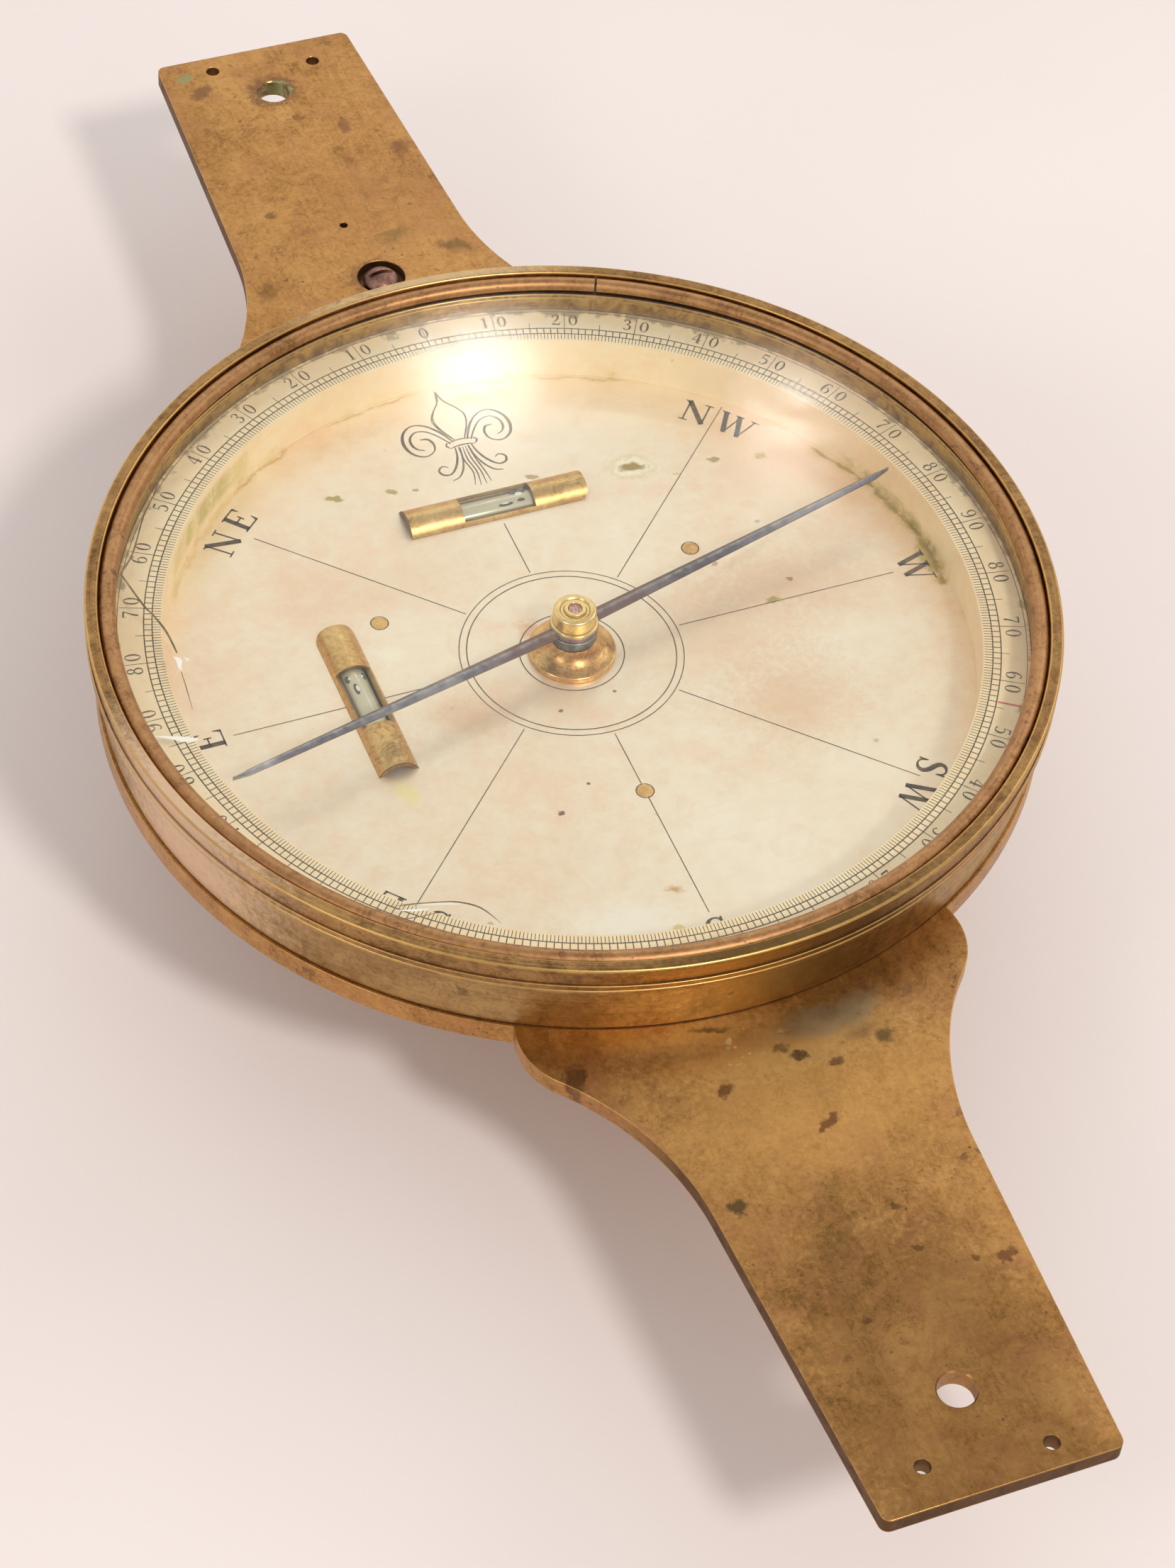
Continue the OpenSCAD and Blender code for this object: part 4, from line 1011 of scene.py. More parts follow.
class Draft:
    """Points, wear and faces of one mesh that is being drawn, in millimetres."""

    def __init__(self) -> None:
        """Starts empty."""
        self.points: list[tuple[float, float, float]] = []
        self.wear: list[float] = []
        self.faces: list[tuple[int, ...]] = []
        self.flat: list[bool] = []

    def point(self, x: float, y: float, z: float, wear: float = 0.0) -> int:
        """Adds a point and returns its number.

        Args:
            x: Place along X.
            y: Place along Y.
            z: Its height.
            wear: How worn it is, below 0 for grime and painted shade.

        Returns:
            The point's number.
        """
        self.points.append((x, y, z))
        self.wear.append(wear)
        return len(self.points) - 1

    def loop(self, flat: Sequence[Flat], z: float, wear: float = 0.0) -> list[int]:
        """Adds a loop of points at one height and returns their numbers."""
        return [self.point(x, y, z, wear) for x, y in flat]

    def face(self, *points: int, flat: bool = False) -> None:
        """Adds a face."""
        self.faces.append(points)
        self.flat.append(flat)

    def bridge(self, first: Sequence[int], second: Sequence[int], closed: bool = True) -> None:
        """Joins two rows of points by quads.

        Args:
            first: The first row.
            second: The second row, as long as the first.
            closed: Whether the rows are rings.
        """
        count = len(first)
        for i in range(count if closed else count - 1):
            j = (i + 1) % count
            self.face(first[i], first[j], second[j], second[i])

    def cap(self, loops: Sequence[Sequence[int]]) -> None:
        """Fills the area between an outline and its holes, seen from above.

        Args:
            loops: The outline's points, then those of each hole.
        """
        numbers = [number for loop in loops for number in loop]
        flats = [Vector(self.points[number][:2]) for number in numbers]
        edges = []
        start = 0
        for loop in loops:
            edges += [(start + i, start + (i + 1) % len(loop)) for i in range(len(loop))]
            start += len(loop)
        found = delaunay_2d_cdt(flats, edges, [], 0, 1e-7)
        origin = [source[0] for source in found[3]]
        spots = np.array([[spot.x, spot.y] for spot in found[0]])
        faces = np.array(found[2])
        ends = np.array([[tuple(flats[a]), tuple(flats[b])] for a, b in edges])
        inside = self.inside(spots[faces].mean(axis=1), ends)
        for face in faces[inside]:
            self.face(*(numbers[origin[i]] for i in face), flat=True)

    @staticmethod
    def inside(spots: np.ndarray, edges: np.ndarray) -> np.ndarray:
        """Tells which spots lie inside an outline and outside its holes.

        Args:
            spots: Points, one in a row.
            edges: Both ends of each edge.

        Returns:
            True for each spot that crosses an odd number of edges.
        """
        x1, y1 = edges[:, 0, 0], edges[:, 0, 1]
        x2, y2 = edges[:, 1, 0], edges[:, 1, 1]
        rise = np.where(y2 == y1, 1e-30, y2 - y1)
        crossed = np.zeros(len(spots), dtype=int)
        for i, (x, y) in enumerate(spots):
            spans = (y1 > y) != (y2 > y)
            crossed[i] = np.count_nonzero(spans & (x < x1 + (y - y1) * (x2 - x1) / rise))
        return crossed % 2 == 1

    def join(self, other: "Draft") -> "Draft":
        """Takes over another draft's points and faces and returns itself.

        Args:
            other: The other draft.

        Returns:
            This draft.
        """
        start = len(self.points)
        self.points += other.points
        self.wear += other.wear
        self.faces += [tuple(start + i for i in face) for face in other.faces]
        self.flat += other.flat
        return self

    def moved(self, matrix: Matrix) -> "Draft":
        """Moves all points by a matrix and returns itself."""
        self.points = [tuple(matrix @ Vector(point)) for point in self.points]
        return self

    def make(self, name: str, material: bpy.types.Material, closed: bool = True,
             crease: float = 34.0) -> bpy.types.Object:
        """Makes the mesh and its object.

        Args:
            name: The object's name.
            material: Its material.
            closed: Whether the mesh is closed, so that its normals can be worked out.
            crease: Angle in degrees from which an edge is sharp.

        Returns:
            The object, at the origin.
        """
        mesh = bpy.data.meshes.new(name)
        mesh.from_pydata([[c * MM for c in point] for point in self.points], [], self.faces)
        mesh.attributes.new("wear", "FLOAT", "POINT").data.foreach_set("value", self.wear)
        mesh.polygons.foreach_set("use_smooth", [not flat for flat in self.flat])
        if closed:
            shell = bmesh.new()
            shell.from_mesh(mesh)
            bmesh.ops.recalc_face_normals(shell, faces=shell.faces)
            shell.to_mesh(mesh)
            shell.free()
        mesh.set_sharp_from_angle(angle=math.radians(crease))
        mesh.materials.append(material)
        thing = bpy.data.objects.new(name, mesh)
        bpy.context.scene.collection.objects.link(thing)
        return thing


def circle(radius: float, steps: int = 48, x: float = 0.0, y: float = 0.0) -> list[Flat]:
    """Gives a circle's points, anticlockwise."""
    turns = [math.tau * i / steps for i in range(steps)]
    return [(x + radius * math.cos(turn), y + radius * math.sin(turn)) for turn in turns]


def arc(x: float, y: float, radius: float, start: float, end: float, steps: int) -> list[Flat]:
    """Gives the points of an arc, angles in degrees, both ends included."""
    turns = [math.radians(start + (end - start) * i / steps) for i in range(steps + 1)]
    return [(x + radius * math.cos(turn), y + radius * math.sin(turn)) for turn in turns]


def inset(loop: Sequence[Flat], depth: float) -> list[Flat]:
    """Moves an anticlockwise loop inwards.

    Args:
        loop: The loop.
        depth: How far, or negative to move it outwards.

    Returns:
        The moved loop.
    """
    out = []
    count = len(loop)
    for i, (x, y) in enumerate(loop):
        before = Vector((x - loop[i - 1][0], y - loop[i - 1][1])).normalized()
        after = Vector((loop[(i + 1) % count][0] - x, loop[(i + 1) % count][1] - y)).normalized()
        normal = Vector((-before.y - after.y, before.x + after.x)).normalized()
        reach = depth / max(0.5, normal.dot(Vector((-before.y, before.x))))
        out.append((x + normal.x * reach, y + normal.y * reach))
    return out


def fillet(corners: Sequence[Corner], closed: bool = True, steps: int = 5) -> list[Knot]:
    """Rounds a section's corners and marks the rounded edges as worn.

    Args:
        corners: Distance from the axis, height and rounding of each corner, anticlockwise.
        closed: Whether the section is a ring's, or ends on the axis.
        steps: Pieces in each rounding.

    Returns:
        Distance from the axis, height and wear of each point.
    """
    out: list[Knot] = []
    count = len(corners)
    for i, (x, z, radius) in enumerate(corners):
        if radius <= 0 or (not closed and i in (0, count - 1)):
            out.append((x, z, 0.0))
            continue
        before = Vector((corners[i - 1][0] - x, corners[i - 1][1] - z))
        after = Vector((corners[(i + 1) % count][0] - x, corners[(i + 1) % count][1] - z))
        near = min(before.length, after.length)
        before.normalize()
        after.normalize()
        half = math.acos(max(-1.0, min(1.0, before.dot(after)))) / 2
        cut = min(radius / math.tan(half), near * 0.48)
        true = cut * math.tan(half)
        middle = Vector((x, z)) + (before + after).normalized() * (true / math.sin(half))
        first = Vector((x, z)) + before * cut
        last = Vector((x, z)) + after * cut
        a0 = math.atan2(first.y - middle.y, first.x - middle.x)
        a1 = math.atan2(last.y - middle.y, last.x - middle.x)
        sweep = (a1 - a0 + math.pi) % math.tau - math.pi
        convex = before.x * after.y - before.y * after.x < 0
        hold = min(cut * 0.5, near * 0.02 + 0.01)
        out.append((first.x + before.x * hold, first.y + before.y * hold, 0.0))
        for k in range(steps + 1):
            turn = a0 + sweep * k / steps
            worn = math.sin(math.pi * k / steps) * (1.0 if convex else -1.0)
            out.append((middle.x + true * math.cos(turn), middle.y + true * math.sin(turn), worn))
        out.append((last.x + after.x * hold, last.y + after.y * hold, 0.0))
    return out


def lathe(section: Sequence[Knot], steps: int = 180, closed: bool = True, start: float = 0.0,
          sweep: float = 360.0) -> Draft:
    """Turns a section about the upright axis.

    Args:
        section: Distance from the axis, height and wear of each point.
        steps: Pieces round the axis.
        closed: Whether the section is a ring's, or ends on the axis.
        start: Angle in degrees at which a split ring starts.
        sweep: Angle in degrees over which it goes.

    Returns:
        The turned shape.
    """
    draft = Draft()
    whole = sweep >= 360.0
    turns = [math.radians(start + sweep * i / steps) for i in range(steps if whole else steps + 1)]
    rows = []
    for r, z, wear in section:
        if r < 1e-6:
            rows.append([draft.point(0.0, 0.0, z, wear)] * len(turns))
        else:
            rows.append([draft.point(r * math.cos(turn), r * math.sin(turn), z, wear) for turn in turns])
    pairs = list(zip(rows, rows[1:]))
    if closed:
        pairs.append((rows[-1], rows[0]))
    for first, second in pairs:
        for i in range(len(turns) if whole else len(turns) - 1):
            j = (i + 1) % len(turns)
            ring = [first[i], first[j], second[j], second[i]]
            unique = [number for k, number in enumerate(ring) if number not in ring[:k]]
            if len(unique) > 2:
                draft.face(*unique)
    if not whole:
        draft.face(*(row[0] for row in rows), flat=True)
        draft.face(*(row[-1] for row in reversed(rows)), flat=True)
    return draft


def turned(corners: Sequence[Corner], steps: int = 180, closed: bool = True, rounding: int = 5) -> Draft:
    """Turns a section with rounded corners about the upright axis."""
    return lathe(fillet(corners, closed, rounding), steps, closed)


@dataclass(frozen=True)
class Hole:
    """A hole in a slab: its loops from the top down, each with the height of its floor."""

    loops: tuple[tuple[tuple[Flat, ...], float], ...]
    edge: float = 0.12
    # Darkening inside the hole: grime and painted shade.
    grime: float = 0.0

    @classmethod
    def round(cls, x: float, y: float, *steps: tuple[float, float], edge: float = 0.12,
              grime: float = 0.0) -> "Hole":
        """Makes a round hole from radii and floor heights, from the top down."""
        return cls(tuple((tuple(circle(radius, 40, x, y)), floor) for radius, floor in steps), edge, grime)


@dataclass(frozen=True)
class SlabForm:
    """A flat plate of any outline, with broken edges and holes."""

    outline: tuple[Flat, ...]
    bottom: float
    top: float
    edge_top: float = 0.16
    edge_bottom: float = 0.2
    holes: tuple[Hole, ...] = ()
    # Painted shade on the side wall, which starts at a distance from the middle.
    side_grime: float = 0.0
    grime_from: float = 0.0

    @staticmethod
    def rim(depth: float, level: float, way: int) -> list[Knot]:
        """Gives a broken edge's section.

        Args:
            depth: Width of the broken edge.
            level: Height of the flat.
            way: 1 for an upper edge, -1 for a lower one.

        Returns:
            Inset, height and wear, from the flat to the wall.
        """
        rows = []
        for k in range(5):
            turn = math.radians(22.5 * k)
            rows.append((depth * (1 - math.sin(turn)), level - way * depth * (1 - math.cos(turn)),
                         math.sin(2 * turn)))
        rows.append((0.0, level - way * (depth + 0.12), 0.0))
        return rows

    def grime(self, row: int, y: float) -> float:
        """Gives the painted shade of a point on the wall, which grows along the arms."""
        share = min(1.0, max(0.0, (abs(y) - self.grime_from) / SIDE_SHADE_FADE))
        return self.side_grime * share if row in SIDE_ROWS else 0.0

    def draft(self) -> Draft:
        """Draws the slab.

        Returns:
            The shape.
        """
        draft = Draft()
        rows = self.rim(self.edge_top, self.top, 1) + self.rim(self.edge_bottom, self.bottom, -1)[::-1]
        loops = []
        for row, (depth, z, wear) in enumerate(rows):
            loops.append([draft.point(x, y, z, wear - self.grime(row, y))
                          for x, y in inset(self.outline, depth)])
        for first, second in zip(loops, loops[1:]):
            draft.bridge(first, second)
        tops = [loops[0]]
        bottoms = [loops[-1]]
        for hole in self.holes:
            first, last = self.hole_walls(draft, hole)
            tops.append(first)
            if last:
                bottoms.append(last)
        draft.cap(tops)
        draft.cap(bottoms)
        return draft

    def hole_walls(self, draft: Draft, hole: Hole) -> tuple[list[int], list[int] | None]:
        """Draws a hole's walls and floors.

        Args:
            draft: The slab's draft.
            hole: The hole.

        Returns:
            Its loop in the slab's top, and its loop in the slab's bottom if it goes through.
        """
        mouth = None
        level = self.top
        below = None
        for flats, floor in hole.loops:
            edge = hole.edge if mouth is None else 0.02
            upper = draft.loop(inset(flats, -edge), level, 0.0)
            worn = -hole.grime if hole.grime else 0.5
            lip = draft.loop(flats, level - edge, worn if mouth is None else -hole.grime)
            draft.bridge(upper, lip)
            if mouth is None:
                mouth = upper
            else:
                draft.cap([below, upper])
            through = floor <= self.bottom + 1e-6
            below = draft.loop(flats, self.bottom if through else floor, -hole.grime)
            draft.bridge(lip, below)
            level = floor
        if level <= self.bottom + 1e-6:
            return mouth, below
        draft.cap([below])
        return mouth, None


def level_slot(east: bool, floor: float) -> Hole:
    """Makes the slot that a level's vial lies in, down to a floor.

    Args:
        east: Whether it is the level on the dial's east side.
        floor: Height of the slot's floor.

    Returns:
        The hole.
    """
    half, side = 14.3, 2.62
    near, far = LEVEL_OFF - side, LEVEL_OFF + side
    loop = [(-half, near), (half, near), (half, far), (-half, far)]
    if east:
        loop = [(-y, x) for x, y in loop]
    return Hole(((tuple(loop), floor),), 0.05)


class Shop:
    """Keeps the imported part's nodes and the finishes, and seats each piece."""

    def __init__(self, frame: dict[str, Any], finishes: Finishes) -> None:
        """Keeps what the sub-assemblies share.

        Args:
            frame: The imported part, as loaded.
            finishes: The materials.
        """
        self.frame = frame
        self.finishes = finishes
        self.copies = self.copies_tree()
        self.ticks = self.ticks_tree()

    def seat(self, piece: bpy.types.Object, body: Body, slot: Slot, *nodes: str) -> bpy.types.Object:
        """Makes a piece ride on a body and stand for solids.

        Args:
            piece: The piece.
            body: The body that it moves with.
            slot: The record's material slot; not used.
            nodes: The solids that it stands for.

        Returns:
            The piece.
        """
        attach(piece, body.value)
        if nodes:
            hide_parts(*nodes)
        LOG.info("%s: %d faces, rides on %s", piece.name, len(piece.data.polygons), body.value)
        return piece

    def softened(self, node: str, name: str, edge: float, material: bpy.types.Material) -> bpy.types.Object:
        """Copies a solid, breaks its edges and marks them as worn.

        Args:
            node: The solid's node.
            name: The new object's name.
            edge: Width of the broken edge.
            material: The new material.

        Returns:
            The copy.
        """
        shell = bmesh.new()
        shell.from_mesh(self.frame["nodes"][node].data)
        bmesh.ops.remove_doubles(shell, verts=shell.verts, dist=2e-6)
        bmesh.ops.dissolve_limit(shell, angle_limit=math.radians(0.6), verts=shell.verts, edges=shell.edges)
        sharp = [e for e in shell.edges
                 if len(e.link_faces) == 2 and e.calc_face_angle(0.0) > math.radians(32)]
        made = bmesh.ops.bevel(shell, geom=sharp, offset=edge * MM, offset_type="OFFSET", segments=2,
                               profile=0.5, affect="EDGES", clamp_overlap=True)
        new = set(made["faces"])
        layer = shell.verts.layers.float.new("wear")
        for vert in made["verts"]:
            if vert.is_valid and all(face in new for face in vert.link_faces):
                vert[layer] = 1.0
        for face in shell.faces:
            face.smooth = True
        mesh = bpy.data.meshes.new(name)
        shell.to_mesh(mesh)
        shell.free()
        mesh.set_sharp_from_angle(angle=math.radians(50))
        mesh.materials.clear()
        mesh.materials.append(material)
        thing = bpy.data.objects.new(name, mesh)
        bpy.context.scene.collection.objects.link(thing)
        even = thing.modifiers.new("even_normals", "WEIGHTED_NORMAL")
        even.keep_sharp = True
        return self.plain(thing)

    @staticmethod
    def plain(thing: bpy.types.Object) -> bpy.types.Object:
        """Applies a thing's modifiers, so that a plain mesh is left.

        Args:
            thing: The thing.

        Returns:
            The same thing.
        """
        graph = bpy.context.evaluated_depsgraph_get()
        mesh = bpy.data.meshes.new_from_object(thing.evaluated_get(graph), preserve_all_data_layers=True,
                                               depsgraph=graph)
        thing.modifiers.clear()
        mesh.name = thing.name
        thing.data = mesh
        return thing

    @staticmethod
    def tree(name: str, inputs: Sequence[tuple[str, str]]) -> tuple[Nodes, dict[str, Value]]:
        """Starts a Geometry Nodes tree.

        Args:
            name: The tree's name.
            inputs: Name and socket type of each input.

        Returns:
            The tree's builder and its inputs by name.
        """
        group = bpy.data.node_groups.new(name, "GeometryNodeTree")
        for label, kind in inputs:
            group.interface.new_socket(label, in_out="INPUT", socket_type=kind)
        group.interface.new_socket("Geometry", in_out="OUTPUT", socket_type="NodeSocketGeometry")
        nodes = Nodes(group)
        entry = group.nodes.new("NodeGroupInput")
        return nodes, {label: Value(nodes, entry.outputs[label]) for label, _ in inputs}

    @staticmethod
    def close(nodes: Nodes, points: Value, copy: Value, turn: Value, material: Value) -> bpy.types.NodeTree:
        """Ends a tree with copies on points, made real and given their material.

        Args:
            nodes: The tree's builder.
            points: The points.
            copy: The shape on each point.
            turn: Angle of each copy about the upright axis.
            material: The material.

        Returns:
            The tree.
        """
        upright = nodes.add("ShaderNodeCombineXYZ", None, {2: turn})
        placed = nodes.add("GeometryNodeInstanceOnPoints", None, {
            "Points": points, "Instance": copy, "Rotation": upright})
        real = nodes.add("GeometryNodeRealizeInstances", None, {0: placed})
        dressed = nodes.add("GeometryNodeSetMaterial", None, {"Geometry": real, "Material": material})
        leave = nodes.tree.nodes.new("NodeGroupOutput")
        nodes.tree.links.new(dressed.socket, leave.inputs[0])
        return nodes.tree

    @staticmethod
    def ring_points(nodes: Nodes, given: dict[str, Value], radius: Value) -> tuple[Value, Value]:
        """Adds points at even angles round the axis.

        Args:
            nodes: The tree's builder.
            given: The tree's inputs, with Count, Start and Height.
            radius: Distance from the axis.

        Returns:
            The points, and the angle of each.
        """
        turn = nodes.add("GeometryNodeInputIndex") * math.tau / given["Count"] + given["Start"]
        spot = nodes.add("ShaderNodeCombineXYZ", None, {
            0: radius * turn.math("COSINE", turn), 1: radius * turn.math("SINE", turn), 2: given["Height"]})
        return nodes.add("GeometryNodePoints", None, {"Count": given["Count"], "Position": spot}), turn

    def copies_tree(self) -> bpy.types.NodeTree:
        """Builds the tree that sets copies of a piece round the axis.

        Returns:
            The tree.
        """
        nodes, given = self.tree("copies_round_axis", (
            ("Copy", "NodeSocketObject"), ("Count", "NodeSocketInt"), ("Radius", "NodeSocketFloat"),
            ("Start", "NodeSocketFloat"), ("Height", "NodeSocketFloat"), ("Material", "NodeSocketMaterial")))
        points, turn = self.ring_points(nodes, given, given["Radius"])
        shape = nodes.add("GeometryNodeObjectInfo", None, {"Object": given["Copy"]}, "Geometry")
        return self.close(nodes, points, shape, turn, given["Material"])

    def ticks_tree(self) -> bpy.types.NodeTree:
        """Builds the tree that sets division lines round a ring.

        Returns:
            The tree.
        """
        nodes, given = self.tree("division_lines", (
            ("Count", "NodeSocketInt"), ("Inner", "NodeSocketFloat"), ("Outer", "NodeSocketFloat"),
            ("Width", "NodeSocketFloat"), ("Start", "NodeSocketFloat"), ("Height", "NodeSocketFloat"),
            ("Material", "NodeSocketMaterial")))
        points, turn = self.ring_points(nodes, given, (given["Inner"] + given["Outer"]) * 0.5)
        line = nodes.add("GeometryNodeMeshGrid", None, {
            "Size X": given["Outer"] - given["Inner"], "Size Y": given["Width"],
            "Vertices X": 2, "Vertices Y": 2})
        return self.close(nodes, points, line, turn, given["Material"])

    def grown(self, name: str, tree: bpy.types.NodeTree, inputs: dict[str, Any]) -> bpy.types.Object:
        """Makes a plain mesh from a Geometry Nodes tree.

        Args:
            name: The object's name.
            tree: The tree.
            inputs: Its inputs by name, lengths in metres.

        Returns:
            The object.
        """
        thing = bpy.data.objects.new(name, bpy.data.meshes.new(name))
        grow = thing.modifiers.new("grow", "NODES")
        grow.node_group = tree
        for item in tree.interface.items_tree:
            if item.item_type == "SOCKET" and item.in_out == "INPUT":
                grow[item.identifier] = inputs[item.name]
        bpy.context.scene.collection.objects.link(thing)
        return self.plain(thing)

    def around(self, name: str, draft: Draft, count: int, radius: float, start: float, height: float,
               material: bpy.types.Material) -> bpy.types.Object:
        """Sets copies of a small piece round the axis.

        Args:
            name: The object's name.
            draft: The small piece, on the axis at height 0.
            count: How many copies.
            radius: Distance from the axis.
            start: Angle of the first, in degrees.
            height: Height at which they stand.
            material: Their material.

        Returns:
            The object.
        """
        pattern = draft.make(name + "_pattern", material)
        thing = self.grown(name, self.copies, {
            "Copy": pattern, "Count": count, "Radius": radius * MM, "Start": math.radians(start),
            "Height": height * MM, "Material": material})
        bpy.data.objects.remove(pattern)
        return thing


def slotted_head(radius: float, depth: float, slot: float) -> Draft:
    """Draws a flush screw head from below: a disc with a slot, its face at height 0.

    Args:
        radius: The head's radius.
        depth: How far it goes up.
        slot: Half the slot's width.

    Returns:
        The head.
    """
    reach = math.sqrt(radius * radius - slot * slot)
    half = math.degrees(math.atan2(slot, reach))
    draft = Draft()
    for side in (0.0, 180.0):
        outline = arc(0.0, 0.0, radius, side + half, side + 180.0 - half, 20)
        form = SlabForm(tuple(outline), 0.0, depth * 0.5, 0.02, radius * 0.06)
        draft.join(form.draft())
    return draft.join(turned(((0.0, depth * 0.45, 0.0), (radius, depth * 0.45, 0.0), (radius, depth, 0.0),
                              (0.0, depth, 0.0)), 40, False))


@dataclass
class Assembly:
    """A sub-assembly, with what all of them share."""

    shop: Shop

    @property
    def fin(self) -> Finishes:
        """Gives the materials."""
        return self.shop.finishes

    def piece(self, draft: Draft, name: str, finish: bpy.types.Material, slot: Slot, *nodes: str,
              body: Body = Body.FRAME, closed: bool = True) -> None:
        """Makes a piece from a draft and seats it.

        Args:
            draft: The piece's shape.
            name: Its name.
            finish: Its material.
            slot: The record's material slot.
            nodes: The solids that it stands for.
            body: The body that it moves with.
            closed: Whether its shape is closed.
        """
        self.shop.seat(draft.make(name, finish, closed), body, slot, *nodes)


@dataclass
class Plate(Assembly):
    """The plate with its two arms, the boss under the north arm and the screws flush with its underside."""

    arm_len: float = 167.2
    end_half: float = 18.9
    corner: float = 1.5
    shoulder: tuple[float, float, float] = (25.1, 72.94, 12.0)
    hollow: tuple[float, float, float] = (69.2, 113.6, 48.0)
    sight_hole: float = 2.95
    sight_spots: tuple[Flat, ...] = ((0.0, 154.1), (0.0, -150.7))
    pin_hole: float = 1.2
    pin_spots: tuple[Flat, ...] = ((-9.016, 163.17), (10.016, 160.63), (9.016, -163.17), (-10.016, -160.63))
    mark_spot: Flat = (0.0, 113.9)
    mark_hole: float = 0.7
    lifter_spot: Flat = (1.8, 98.5)
    well: float = 4.3
    well_depth: float = 1.8
    boss: float = 6.0
    boss_bore: float = 2.0
    boss_foot: float = 35.1
    # Painted shade on the arms' sides, from 80 mm out.
    side_grime: float = 0.7
    grime_from: float = 80.0
    slot_floor: float = 37.73

    def arm_side(self) -> list[Flat]:
        """Draws the right side of the north arm, from the round middle to the arm's end.

        Returns:
            The line's points.
        """
        sx, sy, sr = self.shoulder
        hx, hy, hr = self.hollow
        far = math.hypot(sx, sy)
        along = (R.disc**2 - sr**2 + far**2) / (2 * far)
        aside = math.sqrt(R.disc**2 - along**2)
        meet = (sx / far * along + sy / far * aside, sy / far * along - sx / far * aside)
        first = math.degrees(math.atan2(meet[1] - sy, meet[0] - sx))
        blend = math.degrees(math.atan2(hy - sy, hx - sx))
        dx = self.end_half - hx
        dy = self.arm_len - self.corner - hy
        waist = math.degrees(math.atan2(dy, dx) + math.acos(hr / math.hypot(dx, dy)))
        side = arc(sx, sy, sr, first, blend, 16)
        side += arc(hx, hy, hr, blend + 180.0, waist, 30)[1:]
        side += arc(self.end_half - self.corner, self.arm_len - self.corner, self.corner, 0.0, 90.0, 6)
        return side

    def outline(self) -> tuple[Flat, ...]:
        """Draws the whole plate's outline, anticlockwise.

        Returns:
            The outline's points.
        """
        right = self.arm_side()
        arm = right + [(-x, y) for x, y in reversed(right)]
        start = math.degrees(math.atan2(right[0][1], right[0][0]))
        side = arc(0.0, 0.0, R.disc, 180.0 - start, 180.0 + start, 120)[1:-1]
        half = arm + side
        return tuple(half + [(-x, -y) for x, y in half])

    def build(self) -> None:
        """Builds the plate, its boss and its screws."""
        under = Z.arm_under
        holes = [Hole.round(x, y, (self.sight_hole, under), edge=0.22) for x, y in self.sight_spots]
        holes += [Hole.round(x, y, (self.pin_hole, under), grime=0.5) for x, y in self.pin_spots]
        holes.append(Hole.round(*self.mark_spot, (self.mark_hole, under), grime=0.7))
        holes.append(Hole.round(*self.lifter_spot, (self.well, Z.top - self.well_depth),
                                (self.boss_bore, under), edge=0.1, grime=0.55))
        holes += [level_slot(east, self.slot_floor) for east in (False, True)]
        draft = SlabForm(self.outline(), under, Z.top, 0.16, 0.22, tuple(holes), self.side_grime,
                         self.grime_from).draft()
        draft.join(self.disc())
        boss = turned(((self.boss_bore, self.boss_foot, 0.0), (self.boss, self.boss_foot, 0.4),
                       (self.boss, under + 0.02, 0.0), (self.boss_bore, under + 0.02, 0.0)), 64)
        draft.join(boss.moved(Matrix.Translation((*self.lifter_spot, 0.0))))
        self.piece(draft, "plate_with_arms", self.fin.plate, Slot.PATINATED_BRASS, "main_plate")
        self.screws()

    def disc(self) -> Draft:
        """Draws the round middle's lower part, with its holes for screws and rivets.

        Returns:
            The shape.
        """
        top = Z.arm_under + 0.35
        holes = [self.blind(R.box_screws, 45.0 + 90.0 * i, 1.46) for i in range(4)]
        holes += [self.blind(R.ring_screws, 90.0 * i, 1.36) for i in range(4)]
        holes += [self.blind(R.rivets, 30.0 + 120.0 * i, 1.43) for i in range(3)]
        holes += [self.blind(R.push_pins, 180.0 * i, 1.0) for i in range(2)]
        holes.append(self.blind(0.0, 0.0, 2.63))
        under = SlabForm(tuple(circle(R.disc, 240)), -top, -Z.under, 0.5, 0.02, tuple(holes)).draft()
        return under.moved(Matrix.Diagonal((1.0, -1.0, -1.0, 1.0)))

    @staticmethod
    def blind(radius: float, turn: float, size: float) -> Hole:
        """Makes a blind hole from below, given by its place on a circle; the slab is drawn upside down."""
        x, y = on_circle(radius, turn)
        return Hole.round(x, -y, (size, -Z.under - 1.2), edge=0.05)

    def screws(self) -> None:
        """Builds the screws that hold the box and the graduated ring, flush with the plate's underside."""
        for node, head, radius, start in (
                ("box_screws", slotted_head(1.42, 1.1, 0.2), R.box_screws, 45.0),
                ("ring_screws", slotted_head(1.33, 1.1, 0.18), R.ring_screws, 0.0)):
            ring = self.shop.around(node + "_flush", head, 4, radius, start, Z.under, self.fin.under)
            self.shop.seat(ring, Body.FRAME, Slot.PATINATED_BRASS, node)


